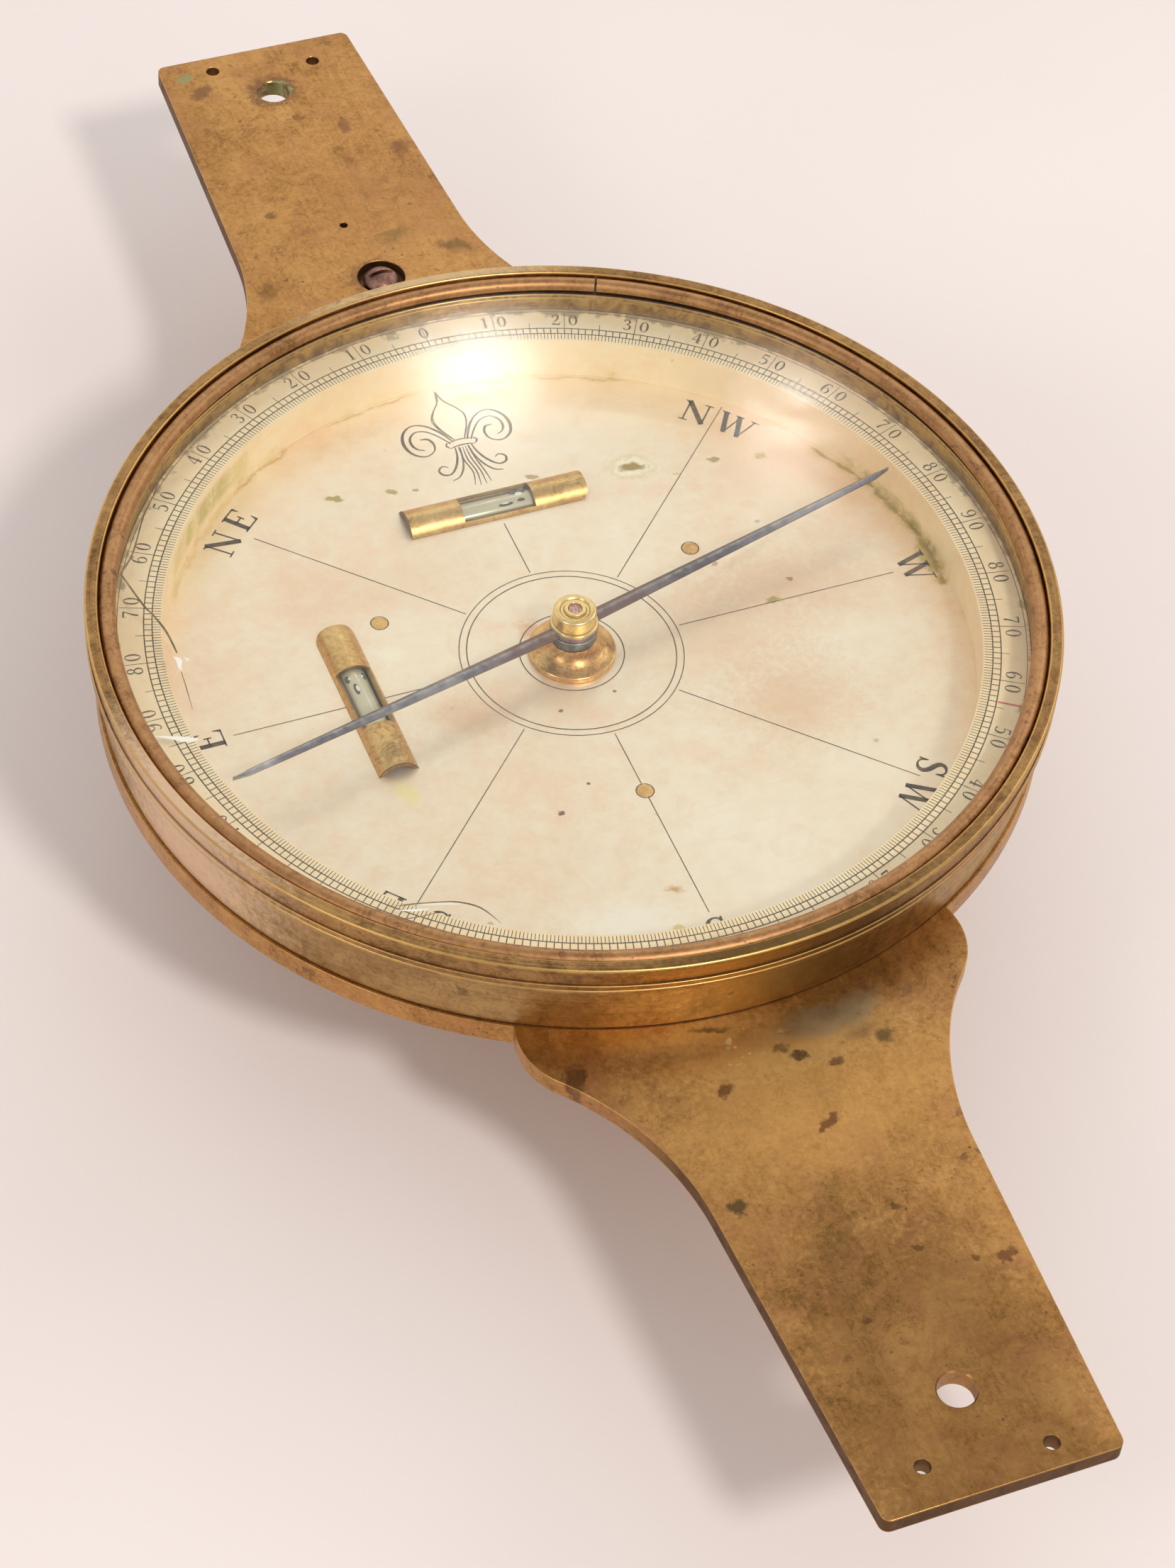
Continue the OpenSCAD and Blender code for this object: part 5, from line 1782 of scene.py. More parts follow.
@dataclass
class CompassBox(Assembly):
    """The box wall, the bezel that holds the glass, the split ring on it and the glass."""

    lip_height: float = 1.2
    swell: float = 0.45
    tongue: float = 1.0
    spring_width: float = 2.9
    spring_height: float = 1.4
    spring_split: float = 66.0
    spring_gap: float = 0.4

    def build(self) -> None:
        """Builds the pieces."""
        fin = self.fin
        self.piece(self.wall(), "box_wall", fin.box, Slot.PATINATED_BRASS, "compass_box")
        self.piece(self.rim(), "glazing_bezel", fin.bezel, Slot.PATINATED_BRASS, "bezel")
        self.piece(self.spring(), "split_spring_ring", fin.browned, Slot.BROWNED_STEEL, "spring_ring")
        pane = turned(((0.0, Z.glass, 0.0), (R.glass, Z.glass, 0.15), (R.glass, Z.glass_top, 0.15),
                       (0.0, Z.glass_top, 0.0)), 180, False)
        self.piece(pane, "window_pane", fin.window, Slot.WINDOW_GLASS, "glass")
        self.crack()

    def crack(self) -> None:
        """Draws the cracks in the old glass, as dark hairs of painted shade and bright hairs of painted glint
        on its top.
        """
        dark = Engraver(Z.glass_top + 0.012)
        for knots in (
                ((-54.0, 50.9, 0.1), (-57.3, 44.4, 0.2), (-61.0, 39.2, 0.24), (-65.2, 31.6, 0.3),
                 (-68.4, 27.9, 0.34)),
                ((-68.4, 27.9, 0.34), (-67.0, 19.9, 0.36), (-66.2, 17.5, 0.3), (-65.3, 13.1, 0.4),
                 (-65.1, 8.2, 0.24)),
                ((-65.7, 4.2, 0.1), (-66.0, 0.6, 0.16), (-66.5, -4.2, 0.06)),
                ((-52.7, -51.7, 0.5), (-51.7, -53.5, 0.3), (-49.0, -55.0, 0.24), (-44.3, -55.4, 0.1)),
                ((-49.6, -52.2, 0.1), (-47.3, -52.6, 0.3), (-43.4, -53.5, 0.2), (-40.7, -54.4, 0.26),
                 (-37.8, -56.6, 0.3), (-35.9, -60.5, 0.05))):
            dark.curve(knots, 4)
        # Pale hairs: painted glints along the cracks.
        light = Engraver(Z.glass_top + 0.014)
        for knots in (
                ((-74.3, -7.5, 0.1), (-71.6, -8.7, 0.6), (-69.9, -9.6, 1.1), (-68.5, -10.2, 0.9),
                 (-67.4, -10.5, 0.1)),
                ((-65.9, 7.6, 0.1), (-65.3, 6.6, 0.9), (-65.6, 5.2, 0.5), (-65.5, 4.4, 0.1)),
                ((-64.4, 6.8, 0.1), (-63.9, 6.4, 0.4), (-64.2, 6.0, 0.1)),
                ((-47.0, -52.9, 0.1), (-43.4, -53.9, 0.25), (-40.4, -54.9, 0.1)),
                ((-50.0, -53.0, 0.1), (-47.2, -53.9, 0.4), (-45.2, -54.3, 0.1))):
            light.curve(knots, 4)
        for name, cut, finish in (("pane_cracks_dark", dark, self.fin.crack_dark),
                                  ("pane_cracks_bright", light, self.fin.crack)):
            self.piece(cut.draft, name, finish, Slot.WINDOW_GLASS, closed=False)

    def wall(self) -> Draft:
        """Draws the box wall with the bead at its top and the tongue inside the bezel.

        Returns:
            The shape.
        """
        inside = R.box_inside
        side = R.box + self.swell
        section = fillet((
            (inside, Z.top, 0.1), (side, Z.top, 0.0), (side, Z.top + 0.15, 0.0), (side, Z.top + 0.4, 0.0),
            (side, Z.joint - self.lip_height, 0.12), (R.lip, Z.joint - self.lip_height, 0.4),
            (R.lip, Z.joint, 0.4), (inside + self.tongue, Z.joint, 0.1),
            (inside + self.tongue, Z.joint + 0.88, 0.1),
            (inside, Z.joint + 0.88, 0.15)))
        grimed = [(r, z, -1.0 if r > inside + 1.0 and z < Z.top + 0.2 else wear) for r, z, wear in section]
        return lathe(grimed, 240)

    def rim(self) -> Draft:
        """Draws the bezel: two beads outside, a rebate over the box's tongue and a ledge for the glass.

        Returns:
            The shape.
        """
        inside = R.box_inside
        waist = R.bezel - 0.35
        return turned((
            (inside + 1.03, Z.joint, 0.1), (R.bezel, Z.joint, 0.4), (R.bezel, Z.joint + 1.2, 0.4),
            (waist, Z.joint + 1.2, 0.1), (waist, Z.bezel_top - 1.1, 0.1), (R.bezel, Z.bezel_top - 1.1, 0.4),
            (R.bezel, Z.bezel_top, 0.5), (R.glass + 0.02, Z.bezel_top, 0.4), (R.glass + 0.02, Z.glass, 0.05),
            (inside, Z.glass, 0.25), (inside, Z.joint + 0.92, 0.1),
            (inside + 1.03, Z.joint + 0.92, 0.1)), 240)

    def spring(self) -> Draft:
        """Draws the half-round split ring that holds the glass down.

        Returns:
            The shape.
        """
        half = self.spring_width / 2
        bow = (half * half + self.spring_height**2) / (2 * self.spring_height)
        middle = R.glass - half
        low = Z.glass_top + self.spring_height - bow
        reach = math.degrees(math.asin(min(1.0, half / bow)))
        section = [(x, max(z, Z.glass_top), 0.5 * math.sin(math.pi * i / 16) ** 4)
                   for i, (x, z) in enumerate(arc(middle, low, bow, 90.0 - reach, 90.0 + reach, 16))]
        split = math.degrees(self.spring_gap / 2 / middle)
        return lathe(section, 240, True, self.spring_split + split, 360.0 - 2 * split)


@dataclass
class Engraver:
    """Cuts lines and letters into a level surface, as thin dark strips just above it."""

    height: float
    draft: Draft = field(default_factory=Draft)

    def stroke(self, knots: Sequence[Knot], closed: bool = False) -> None:
        """Cuts a stroke of changing width.

        Args:
            knots: Place and width along the stroke.
            closed: Whether its end meets its start.
        """
        count = len(knots)
        left, right = [], []
        for i, (x, y, width) in enumerate(knots):
            before = knots[i - 1] if i or closed else knots[i]
            after = knots[(i + 1) % count] if i < count - 1 or closed else knots[i]
            along = Vector((after[0] - before[0], after[1] - before[1])).normalized()
            left.append(self.draft.point(x - along.y * width / 2, y + along.x * width / 2, self.height))
            right.append(self.draft.point(x + along.y * width / 2, y - along.x * width / 2, self.height))
        self.draft.bridge(right, left, closed)

    def line(self, x1: float, y1: float, x2: float, y2: float, width: float) -> None:
        """Cuts a straight line."""
        self.stroke(((x1, y1, width), (x2, y2, width)))

    def ring(self, radius: float, width: float, steps: int = 240) -> None:
        """Cuts a circle about the axis."""
        self.stroke([(x, y, width) for x, y in circle(radius, steps)], True)

    def curve(self, knots: Sequence[Knot], steps: int = 6) -> None:
        """Cuts a smooth stroke through given points.

        Args:
            knots: Place and width at each point.
            steps: Pieces between two points.
        """
        self.stroke(smooth(knots, steps))

    def ray(self, turn: float, inner: float, outer: float, width: float) -> None:
        """Cuts a line that points at the axis, angle in degrees."""
        self.line(*on_circle(inner, turn), *on_circle(outer, turn), width)

    def letter(self, sign: str, turn: float, radius: float, high: float, weight: float = 1.0) -> None:
        """Cuts a letter or figure with its top outwards.

        Args:
            sign: The letter or figure.
            turn: Angle of its middle, in degrees.
            radius: Distance of its foot from the axis.
            high: Its height.
            weight: Factor on its strokes.
        """
        wide, strokes = SIGNS[sign]
        c, s = on_circle(1.0, turn)
        for knots in strokes:
            placed = []
            for x, y, width in (smooth(knots, 5) if len(knots) > 2 else knots):
                aside = (x - wide / 2) * high
                out = radius + y * high
                placed.append((out * c + aside * s, out * s - aside * c, width * high * weight))
            self.stroke(placed)


def smooth(knots: Sequence[Knot], steps: int) -> list[Knot]:
    """Runs a smooth curve through points.

    Args:
        knots: Place and width at each point.
        steps: Pieces between two points.

    Returns:
        The finer points.
    """
    out: list[Knot] = []
    last = len(knots) - 1
    for i in range(last):
        p0, p1 = knots[max(i - 1, 0)], knots[i]
        p2, p3 = knots[i + 1], knots[min(i + 2, last)]
        for k in range(steps + (i == last - 1)):
            t = k / steps
            out.append(tuple(
                0.5 * (2 * b + (c - a) * t + (2 * a - 5 * b + 4 * c - d) * t * t
                       + (3 * b - a - 3 * c + d) * t**3)
                for a, b, c, d in zip(p0, p1, p2, p3)))
    return out


def oval(x: float, y: float, rx: float, ry: float, thin: float, thick: float) -> tuple[Knot, ...]:
    """Gives an upright oval's stroke, thick at its sides.

    Args:
        x: Its middle across.
        y: Its middle upwards.
        rx: Half its width.
        ry: Half its height.
        thin: The stroke's width at top and foot.
        thick: The stroke's width at the sides.

    Returns:
        Place and width along the stroke.
    """
    turns = [math.tau * i / 12 for i in range(13)]
    return tuple((x + rx * math.sin(t), y + ry * math.cos(t), thin + (thick - thin) * abs(math.sin(t)) ** 1.5)
                 for t in turns)


SIX = ((0.5, 0.86, 0.09), (0.4, 0.97, 0.06), (0.24, 0.93, 0.07), (0.1, 0.7, 0.12), (0.06, 0.38, 0.13),
       (0.14, 0.08, 0.08), (0.3, 0.01, 0.05), (0.46, 0.1, 0.1), (0.52, 0.32, 0.12), (0.42, 0.52, 0.07),
       (0.28, 0.56, 0.05), (0.11, 0.42, 0.05))

SIGNS: dict[str, tuple[float, tuple[tuple[Knot, ...], ...]]] = {
    "N": (0.96, (((0.13, 0.0, 0.055), (0.13, 1.0, 0.055)), ((0.1, 1.0, 0.17), (0.83, 0.0, 0.17)),
                 ((0.83, 0.0, 0.055), (0.83, 1.0, 0.055)), ((-0.02, 0.02, 0.045), (0.29, 0.02, 0.045)),
                 ((-0.04, 0.98, 0.045), (0.18, 0.98, 0.045)), ((0.67, 0.98, 0.045), (0.98, 0.98, 0.045)))),
    "E": (0.78, (((0.2, 0.0, 0.16), (0.2, 1.0, 0.16)), ((0.03, 0.975, 0.05), (0.72, 0.975, 0.05)),
                 ((0.03, 0.025, 0.05), (0.76, 0.025, 0.05)), ((0.2, 0.52, 0.05), (0.52, 0.52, 0.05)),
                 ((0.7, 0.99, 0.1), (0.73, 0.74, 0.02)), ((0.73, 0.01, 0.1), (0.78, 0.29, 0.02)),
                 ((0.52, 0.39, 0.05), (0.52, 0.65, 0.05)))),
    "W": (1.32, (((0.1, 1.0, 0.16), (0.4, 0.0, 0.16)), ((0.4, 0.0, 0.05), (0.66, 1.0, 0.05)),
                 ((0.62, 1.0, 0.16), (0.92, 0.0, 0.16)), ((0.92, 0.0, 0.05), (1.2, 1.0, 0.05)),
                 ((-0.06, 0.98, 0.045), (0.26, 0.98, 0.045)), ((0.48, 0.98, 0.045), (0.8, 0.98, 0.045)),
                 ((1.06, 0.98, 0.045), (1.36, 0.98, 0.045)))),
    "S": (0.64, (((0.55, 0.74, 0.05), (0.5, 0.92, 0.06), (0.33, 0.99, 0.06), (0.15, 0.91, 0.11),
                  (0.1, 0.74, 0.15), (0.22, 0.59, 0.17), (0.43, 0.45, 0.17), (0.55, 0.27, 0.15),
                  (0.49, 0.09, 0.11), (0.31, 0.01, 0.06), (0.14, 0.07, 0.06), (0.07, 0.27, 0.05)),
                 ((0.56, 0.7, 0.03), (0.56, 1.0, 0.07)), ((0.06, 0.0, 0.07), (0.06, 0.31, 0.03)))),
    "0": (0.6, (oval(0.3, 0.5, 0.23, 0.48, 0.045, 0.14),)),
    "1": (0.5, (((0.27, 0.0, 0.14), (0.27, 1.0, 0.14)), ((0.08, 0.84, 0.05), (0.27, 0.98, 0.06)),
                ((0.09, 0.02, 0.05), (0.45, 0.02, 0.05)))),
    "2": (0.58, (((0.08, 0.72, 0.12), (0.12, 0.9, 0.07), (0.28, 0.99, 0.06), (0.45, 0.88, 0.11),
                  (0.45, 0.68, 0.13), (0.3, 0.42, 0.09), (0.13, 0.19, 0.05), (0.05, 0.05, 0.05)),
                 ((0.04, 0.06, 0.12), (0.54, 0.06, 0.12)), ((0.54, 0.04, 0.08), (0.56, 0.24, 0.03)))),
    "3": (0.56, (((0.08, 0.82, 0.11), (0.2, 0.97, 0.06), (0.37, 0.95, 0.09), (0.45, 0.79, 0.13),
                  (0.37, 0.61, 0.07), (0.22, 0.54, 0.05)),
                 ((0.22, 0.54, 0.05), (0.42, 0.47, 0.08), (0.5, 0.28, 0.14), (0.41, 0.07, 0.09),
                  (0.22, 0.01, 0.06), (0.07, 0.14, 0.11)))),
    "4": (0.62, (((0.4, 1.0, 0.05), (0.03, 0.3, 0.05)), ((0.02, 0.29, 0.06), (0.6, 0.29, 0.06)),
                 ((0.42, 1.0, 0.14), (0.42, 0.0, 0.14)), ((0.27, 0.02, 0.05), (0.57, 0.02, 0.05)))),
    "5": (0.56, (((0.13, 0.95, 0.11), (0.5, 0.95, 0.11)), ((0.13, 0.96, 0.05), (0.1, 0.53, 0.05)),
                 ((0.1, 0.53, 0.05), (0.26, 0.61, 0.06), (0.44, 0.52, 0.1), (0.5, 0.3, 0.14),
                  (0.41, 0.07, 0.09), (0.22, 0.01, 0.06), (0.06, 0.12, 0.11)))),
    "6": (0.58, (SIX,)),
    "7": (0.56, (((0.04, 0.93, 0.11), (0.54, 0.93, 0.11)), ((0.06, 0.95, 0.06), (0.04, 0.74, 0.03)),
                 ((0.54, 0.92, 0.05), (0.37, 0.55, 0.09), (0.27, 0.22, 0.13), (0.25, 0.0, 0.14)))),
    "8": (0.58, (oval(0.29, 0.76, 0.17, 0.22, 0.05, 0.11), oval(0.29, 0.27, 0.22, 0.26, 0.05, 0.13))),
    "9": (0.58, (tuple((0.58 - x, 1.0 - y, width) for x, y, width in SIX),)),
}


@dataclass
class Dial(Assembly):
    """The silvered dial with its engraving, and the raised ring with degrees and figures."""

    line: float = 0.17
    fine: float = 0.12
    ray_inner: float = 19.2
    letter_high: float = 5.0
    letter_foot: float = 60.1
    figure_high: float = 2.6
    figure_foot: float = 70.9
    figure_apart: float = 1.5
    degree_ring: float = 68.65
    ten_ring: float = 70.0

    def build(self) -> None:
        """Builds the dial, its rivets, the graduated ring and all engraving."""
        holes = [Hole.round(0.0, 0.0, (R.post + 0.03, Z.top), edge=0.06)]
        holes += [Hole.round(x, y, (1.44, Z.top), edge=0.06) for x, y in self.rivet_spots()]
        holes += [Hole.round(R.push_pins * side, 0.0, (1.0, Z.top), edge=0.05) for side in (1, -1)]
        holes += [level_slot(east, Z.top) for east in (False, True)]
        disc = SlabForm(tuple(circle(R.limb_outside, 240)), Z.top, Z.dial, 0.05, 0.05, tuple(holes))
        self.piece(disc.draft(), "silvered_dial", self.fin.dial, Slot.SILVERED_BRASS, "dial_plate")
        head = turned(((0.0, -5.5, 0.0), (1.39, -5.5, 0.1), (1.39, 0.02, 0.12), (0.8, 0.16, 0.3),
                       (0.0, 0.2, 0.0)), 40, False)
        rivets = self.shop.around("dial_rivets_flush", head, 3, R.rivets, 30.0, Z.dial, self.fin.rivet)
        self.shop.seat(rivets, Body.FRAME, Slot.BRIGHT_BRASS, "dial_rivets")
        self.ring()
        self.engrave()

    @staticmethod
    def rivet_spots() -> list[Flat]:
        """Gives the rivets' places."""
        return [on_circle(R.rivets, 30.0 + 120.0 * i) for i in range(3)]

    def ring(self) -> None:
        """Builds the raised ring."""
        inside = R.limb_inside
        ring = turned((
            (inside, Z.dial, 0.05), (inside + 2.6, Z.dial, 0.0), (inside + 2.6, Z.limb - 1.6, 0.0),
            (R.limb_outside, Z.limb - 1.6, 0.0), (R.limb_outside, Z.limb, 0.1), (inside, Z.limb, 0.14)), 240)
        self.piece(ring, "graduated_limb", self.fin.limb, Slot.SILVERED_BRASS, "graduated_ring")

    def engrave(self) -> None:
        """Cuts the dial's and the ring's lines, letters and figures."""
        fin = self.fin
        rose = Engraver(Z.dial + 0.018)
        for radius, width in ((18.6, self.line), (17.35, self.line + 0.03), (8.7, self.line + 0.03)):
            rose.ring(radius, width)
        for turn, outer in ((0.0, 58.5), (45.0, 65.9), (90.0, 31.5), (135.0, 58.4), (180.0, 58.5),
                            (225.0, 62.0), (270.0, 58.8), (315.0, 61.5)):
            rose.ray(turn, self.ray_inner, outer, self.line)
        for spot in self.rivet_spots():
            rose.stroke([(x, y, 0.14) for x, y in circle(1.5, 32, *spot)], True)
        words = Engraver(Z.dial + 0.02)
        for sign, turn in (("E", 180.0), ("W", 0.0), ("S", 270.0), ("N", 48.2), ("W", 41.4), ("N", 138.1),
                           ("E", 132.5), ("S", 317.4), ("W", 311.0), ("S", 229.0), ("E", 221.6)):
            words.letter(sign, turn, self.letter_foot, self.letter_high, 1.1)
        flower = Engraver(Z.dial + 0.02)
        self.north_flower(flower)
        for cut, name, finish in ((rose, "dial_lines", fin.faint_ink), (words, "dial_letters", fin.ink),
                                  (flower, "dial_north_flower", fin.flower_ink)):
            self.piece(cut.draft, name, finish, Slot.SILVERED_BRASS, closed=False)
        self.divide()

    @staticmethod
    def north_flower(words: Engraver) -> None:
        """Cuts a lily flower at north, in outline.

        Args:
            words: The engraver.
        """
        for side in (1, -1):
            heavy = 0.4 if side < 0 else 0.26
            for knots in (
                    ((0.9, 53.2, 0.2), (2.5, 56.6, heavy), (2.9, 59.0, heavy), (1.9, 61.2, 0.24),
                     (0.7, 62.8, 0.24), (0.25, 64.4, heavy), (0.0, 66.0, 0.14)),
                    ((1.3, 52.8, 0.2), (2.6, 55.6, 0.36), (4.6, 58.0, 0.28), (6.9, 58.8, 0.2),
                     (8.9, 57.4, 0.36), (9.7, 54.8, 0.46), (9.0, 52.2, 0.36), (7.1, 50.9, 0.22),
                     (5.3, 51.6, 0.2), (4.7, 53.3, 0.36), (5.3, 54.8, 0.36), (6.6, 55.1, 0.16)),
                    ((1.9, 52.6, 0.18), (3.3, 54.9, 0.24), (5.0, 56.7, 0.2), (6.8, 57.1, 0.2),
                     (8.1, 56.0, 0.32), (8.4, 54.4, 0.36), (7.8, 53.0, 0.24), (6.7, 52.4, 0.16)),
                    ((1.5, 51.4, 0.2), (1.9, 49.2, 0.3), (2.9, 47.0, 0.34), (4.3, 45.5, 0.26),
                     (5.7, 45.7, 0.32), (6.1, 46.9, 0.3), (5.2, 47.7, 0.2), (4.3, 47.2, 0.14)),
                    ((0.9, 51.4, 0.18), (1.1, 48.8, 0.22), (1.9, 46.2, 0.28), (3.2, 44.4, 0.2),
                     (4.6, 43.9, 0.14)),
                    ((2.4, 51.6, 0.18), (2.8, 52.3, 0.28), (2.4, 52.9, 0.18))):
                words.curve([(x * side, y, w * 1.3) for x, y, w in knots])
        for low, high in ((51.6, 0.28), (53.0, 0.24)):
            words.curve([(-2.4, low - 0.2, 0.14), (-1.2, low + 0.1, high), (0.0, low + 0.2, high),
                         (1.2, low + 0.1, high), (2.4, low - 0.2, 0.14)])
        for x in (-0.9, -0.25, 0.45, 1.1):
            words.curve([(x * 0.7, 51.3, 0.18), (x - 0.15, 48.2, 0.28), (x + 0.3, 44.8, 0.24),
                         (x * 1.5, 41.3 + abs(x) * 0.5, 0.12)])

    def divide(self) -> None:
        """Cuts the ring's divisions and figures."""
        fin = self.fin
        degree, ten = self.degree_ring, self.ten_ring
        for name, count, inner, outer, width in (
                ("limb_half_degrees", 720, 67.25, degree, self.fine),
                ("limb_degrees", 360, degree, ten, self.line),
                ("limb_tens", 36, ten, 74.0, self.fine), ("limb_fives", 72, ten, 71.4, self.fine)):
            lines = self.shop.grown(name, self.shop.ticks, {
                "Count": count, "Inner": inner * MM, "Outer": outer * MM, "Width": width * MM, "Start": 0.0,
                "Height": (Z.limb + 0.016) * MM, "Material": fin.ink if count > 100 else fin.faint_ink})
            self.shop.seat(lines, Body.FRAME, Slot.SILVERED_BRASS)
        rings = Engraver(Z.limb + 0.02)
        for radius in (ten, degree):
            rings.ring(radius, 0.2, 360)
        figures = Engraver(Z.limb + 0.02)
        figures.ring(74.3, self.fine, 360)
        for turn in range(0, 360, 10):
            self.number(figures, min(abs(90 - turn % 180), 90), float(turn))
        red = Engraver(Z.limb + 0.03)
        red.ray(-34.0, 70.2, 74.6, 0.36)
        for cut, name, finish in ((rings, "limb_circles", fin.ink), (figures, "limb_figures", fin.faint_ink),
                                  (red, "limb_red_line", fin.red)):
            self.piece(cut.draft, name, finish, Slot.SILVERED_BRASS, closed=False)

    def number(self, rings: Engraver, figure: int, turn: float) -> None:
        """Cuts a number, one figure on each side of its line.

        Args:
            rings: The engraver.
            figure: The number.
            turn: Angle of its line, in degrees.
        """
        signs = str(figure)
        high, foot = self.figure_high, self.figure_foot
        if len(signs) == 1:
            rings.letter(signs, turn, foot, high)
            return
        apart = math.degrees(self.figure_apart / foot)
        rings.letter(signs[0], turn + apart, foot, high)
        rings.letter(signs[1], turn - apart, foot, high)


@dataclass
class Levels(Assembly):
    """The two spirit levels: an arched cover with a window over a vial with spirit and a bubble."""

    length: float = 32.2
    width: float = 6.8
    rise: float = 2.2
    wall: float = 0.7
    window_length: float = 12.8
    window_width: float = 5.9
    vial_radius: float = 2.6
    vial_length: float = 28.0
    vial_height: float = 40.35

    def build(self) -> None:
        """Builds both levels."""
        ew = ((4.4, 0.3, 1.9, 1.5, 0.3), (1.6, -0.9, 1.6, 0.5, 0.2))
        ns = ((5.0, -0.95, 0.95, 0.85, 0.3), (5.0, 0.95, 0.95, 0.85, 0.3), (2.4, 0.5, 1.5, 0.6, 0.2))
        for tag, turn, bubbles in (("ew", 0.0, ew), ("ns", 90.0, ns)):
            place = Matrix.Rotation(math.radians(turn), 4, "Z") @ Matrix.Translation((0.0, LEVEL_OFF, 0.0))
            self.level(tag, place, bubbles)

    def level(self, tag: str, place: Matrix, bubbles: Sequence[tuple[float, ...]]) -> None:
        """Builds one level.

        Args:
            tag: Its short name.
            place: Where it lies.
            bubbles: Place along and across the vial and half sizes of each bubble.
        """
        fin = self.fin
        self.piece(self.cover().moved(place), "level_cover_arched_" + tag, fin.cover, Slot.BRIGHT_BRASS,
                   "level_cover_" + tag)
        lie = place @ Matrix.Translation((0.0, 0.0, self.vial_height)) @ Matrix.Rotation(math.pi / 2, 4, "Y")
        half = self.vial_length / 2
        tube = self.capsule(self.vial_radius, half).moved(lie)
        self.piece(tube, "vial_tube_" + tag, fin.tube, Slot.VIAL_GLASS, "level_vial_" + tag)
        inner = self.vial_radius - 0.22
        spirit = self.capsule(inner, half - 0.6).moved(lie)
        self.piece(spirit, "vial_spirit_" + tag, fin.spirit, Slot.VIAL_GLASS)
        # A dark shell as painted shade round each bubble, and a pale one inside it as painted highlight.
        for name, finish, size, lift in (("vial_bubble_rim_", fin.bubble_rim, 1.0, 0.1),
                                         ("vial_bubble_", fin.bubble, 0.62, 0.14)):
            air = Draft()
            for along, across, long, wide, high in bubbles:
                top = self.vial_height + math.sqrt(inner**2 - (abs(across) + wide * 0.3) ** 2)
                shape = place @ Matrix.Translation((along, across, top - high + lift))
                air.join(self.ball().moved(shape @ Matrix.Diagonal((long * size, wide * size, high, 1.0))))
            self.piece(air, name + tag, finish, Slot.VIAL_GLASS)

    def cover(self) -> Draft:
        """Draws the arched cover along X: a shell with a window, one end with rounded corners, its hollow
        side darkened as painted shade.

        Returns:
            The shape.
        """
        bow = ((self.width / 2) ** 2 + self.rise**2) / (2 * self.rise)
        axis = Z.dial + self.rise - bow
        reach = math.acos((Z.dial - axis) / bow)
        reach_in = math.acos(min(1.0, (Z.dial - axis) / (bow - self.wall)))
        side = math.asin(self.window_width / 2 / bow)
        turns = [-reach + (reach - side) * i / 6 for i in range(6)]
        turns += [-side + 2 * side * i / 12 for i in range(13)]
        turns += [side + (reach - side) * i / 6 for i in range(1, 7)]
        end, pane = self.length / 2, self.window_length / 2
        spots = [-end, -end + 0.25, -end + 3.0, -pane - 0.2, -pane, 0.0, pane, pane + 0.2, end - 3.0,
                 end - 0.25, end]
        draft = Draft()
        outer, inner = [], []
        for spot in spots:
            outer_row, inner_row = [], []
            for turn in turns:
                share = abs(turn) / reach
                along = spot - (1.5 * share**6 if spot > end - 0.5 else 0.0)
                scaled = turn * reach_in / reach
                # Negative wear on the open end, the foot and the window's edges darkens them: painted shade.
                rim = -0.7 if share > 0.99 or spot < -end + 0.1 else 0.0
                if abs(spot) < pane + 0.1 and abs(turn) < side + 0.01:
                    rim = -0.35
                outer_row.append(draft.point(along, bow * math.sin(turn), axis + bow * math.cos(turn), rim))
                # The whole underside gets negative wear: painted shade in the hollow.
                inner_row.append(draft.point(along, (bow - self.wall) * math.sin(scaled),
                                             axis + (bow - self.wall) * math.cos(scaled), -0.6))
            outer.append(outer_row)
            inner.append(inner_row)
        solid = {(i, j) for i in range(len(spots) - 1) for j in range(len(turns) - 1)
                 if not (4 <= i < 6 and 6 <= j < 18)}
        for i, j in solid:
            draft.face(outer[i][j], outer[i + 1][j], outer[i + 1][j + 1], outer[i][j + 1])
            draft.face(inner[i][j], inner[i][j + 1], inner[i + 1][j + 1], inner[i + 1][j])
            for (di, dj), (a, b) in (((-1, 0), ((0, 0), (0, 1))), ((1, 0), ((1, 0), (1, 1))),
                                     ((0, -1), ((0, 0), (1, 0))), ((0, 1), ((0, 1), (1, 1)))):
                if (i + di, j + dj) not in solid:
                    draft.face(outer[i + a[0]][j + a[1]], outer[i + b[0]][j + b[1]],
                               inner[i + b[0]][j + b[1]], inner[i + a[0]][j + a[1]], flat=True)
        return draft

    @staticmethod
    def capsule(radius: float, half: float) -> Draft:
        """Draws a round-ended rod on the upright axis.

        Args:
            radius: The rod's radius.
            half: Half its length.

        Returns:
            The shape.
        """
        straight = half - radius
        section = [(x, z - straight, 0.0) for x, z in arc(0.0, 0.0, radius, -90.0, 0.0, 8)]
        section += [(x, z + straight, 0.0) for x, z in arc(0.0, 0.0, radius, 0.0, 90.0, 8)]
        section[0] = (0.0, -half, 0.0)
        section[-1] = (0.0, half, 0.0)
        return lathe(section, 40, False)

    @staticmethod
    def ball() -> Draft:
        """Draws a ball of radius 1.

        Returns:
            The shape.
        """
        section = [(x, z, 0.0) for x, z in arc(0.0, 0.0, 1.0, -90.0, 90.0, 16)]
        section[0] = (0.0, -1.0, 0.0)
        section[-1] = (0.0, 1.0, 0.0)
        return lathe(section, 32, False)


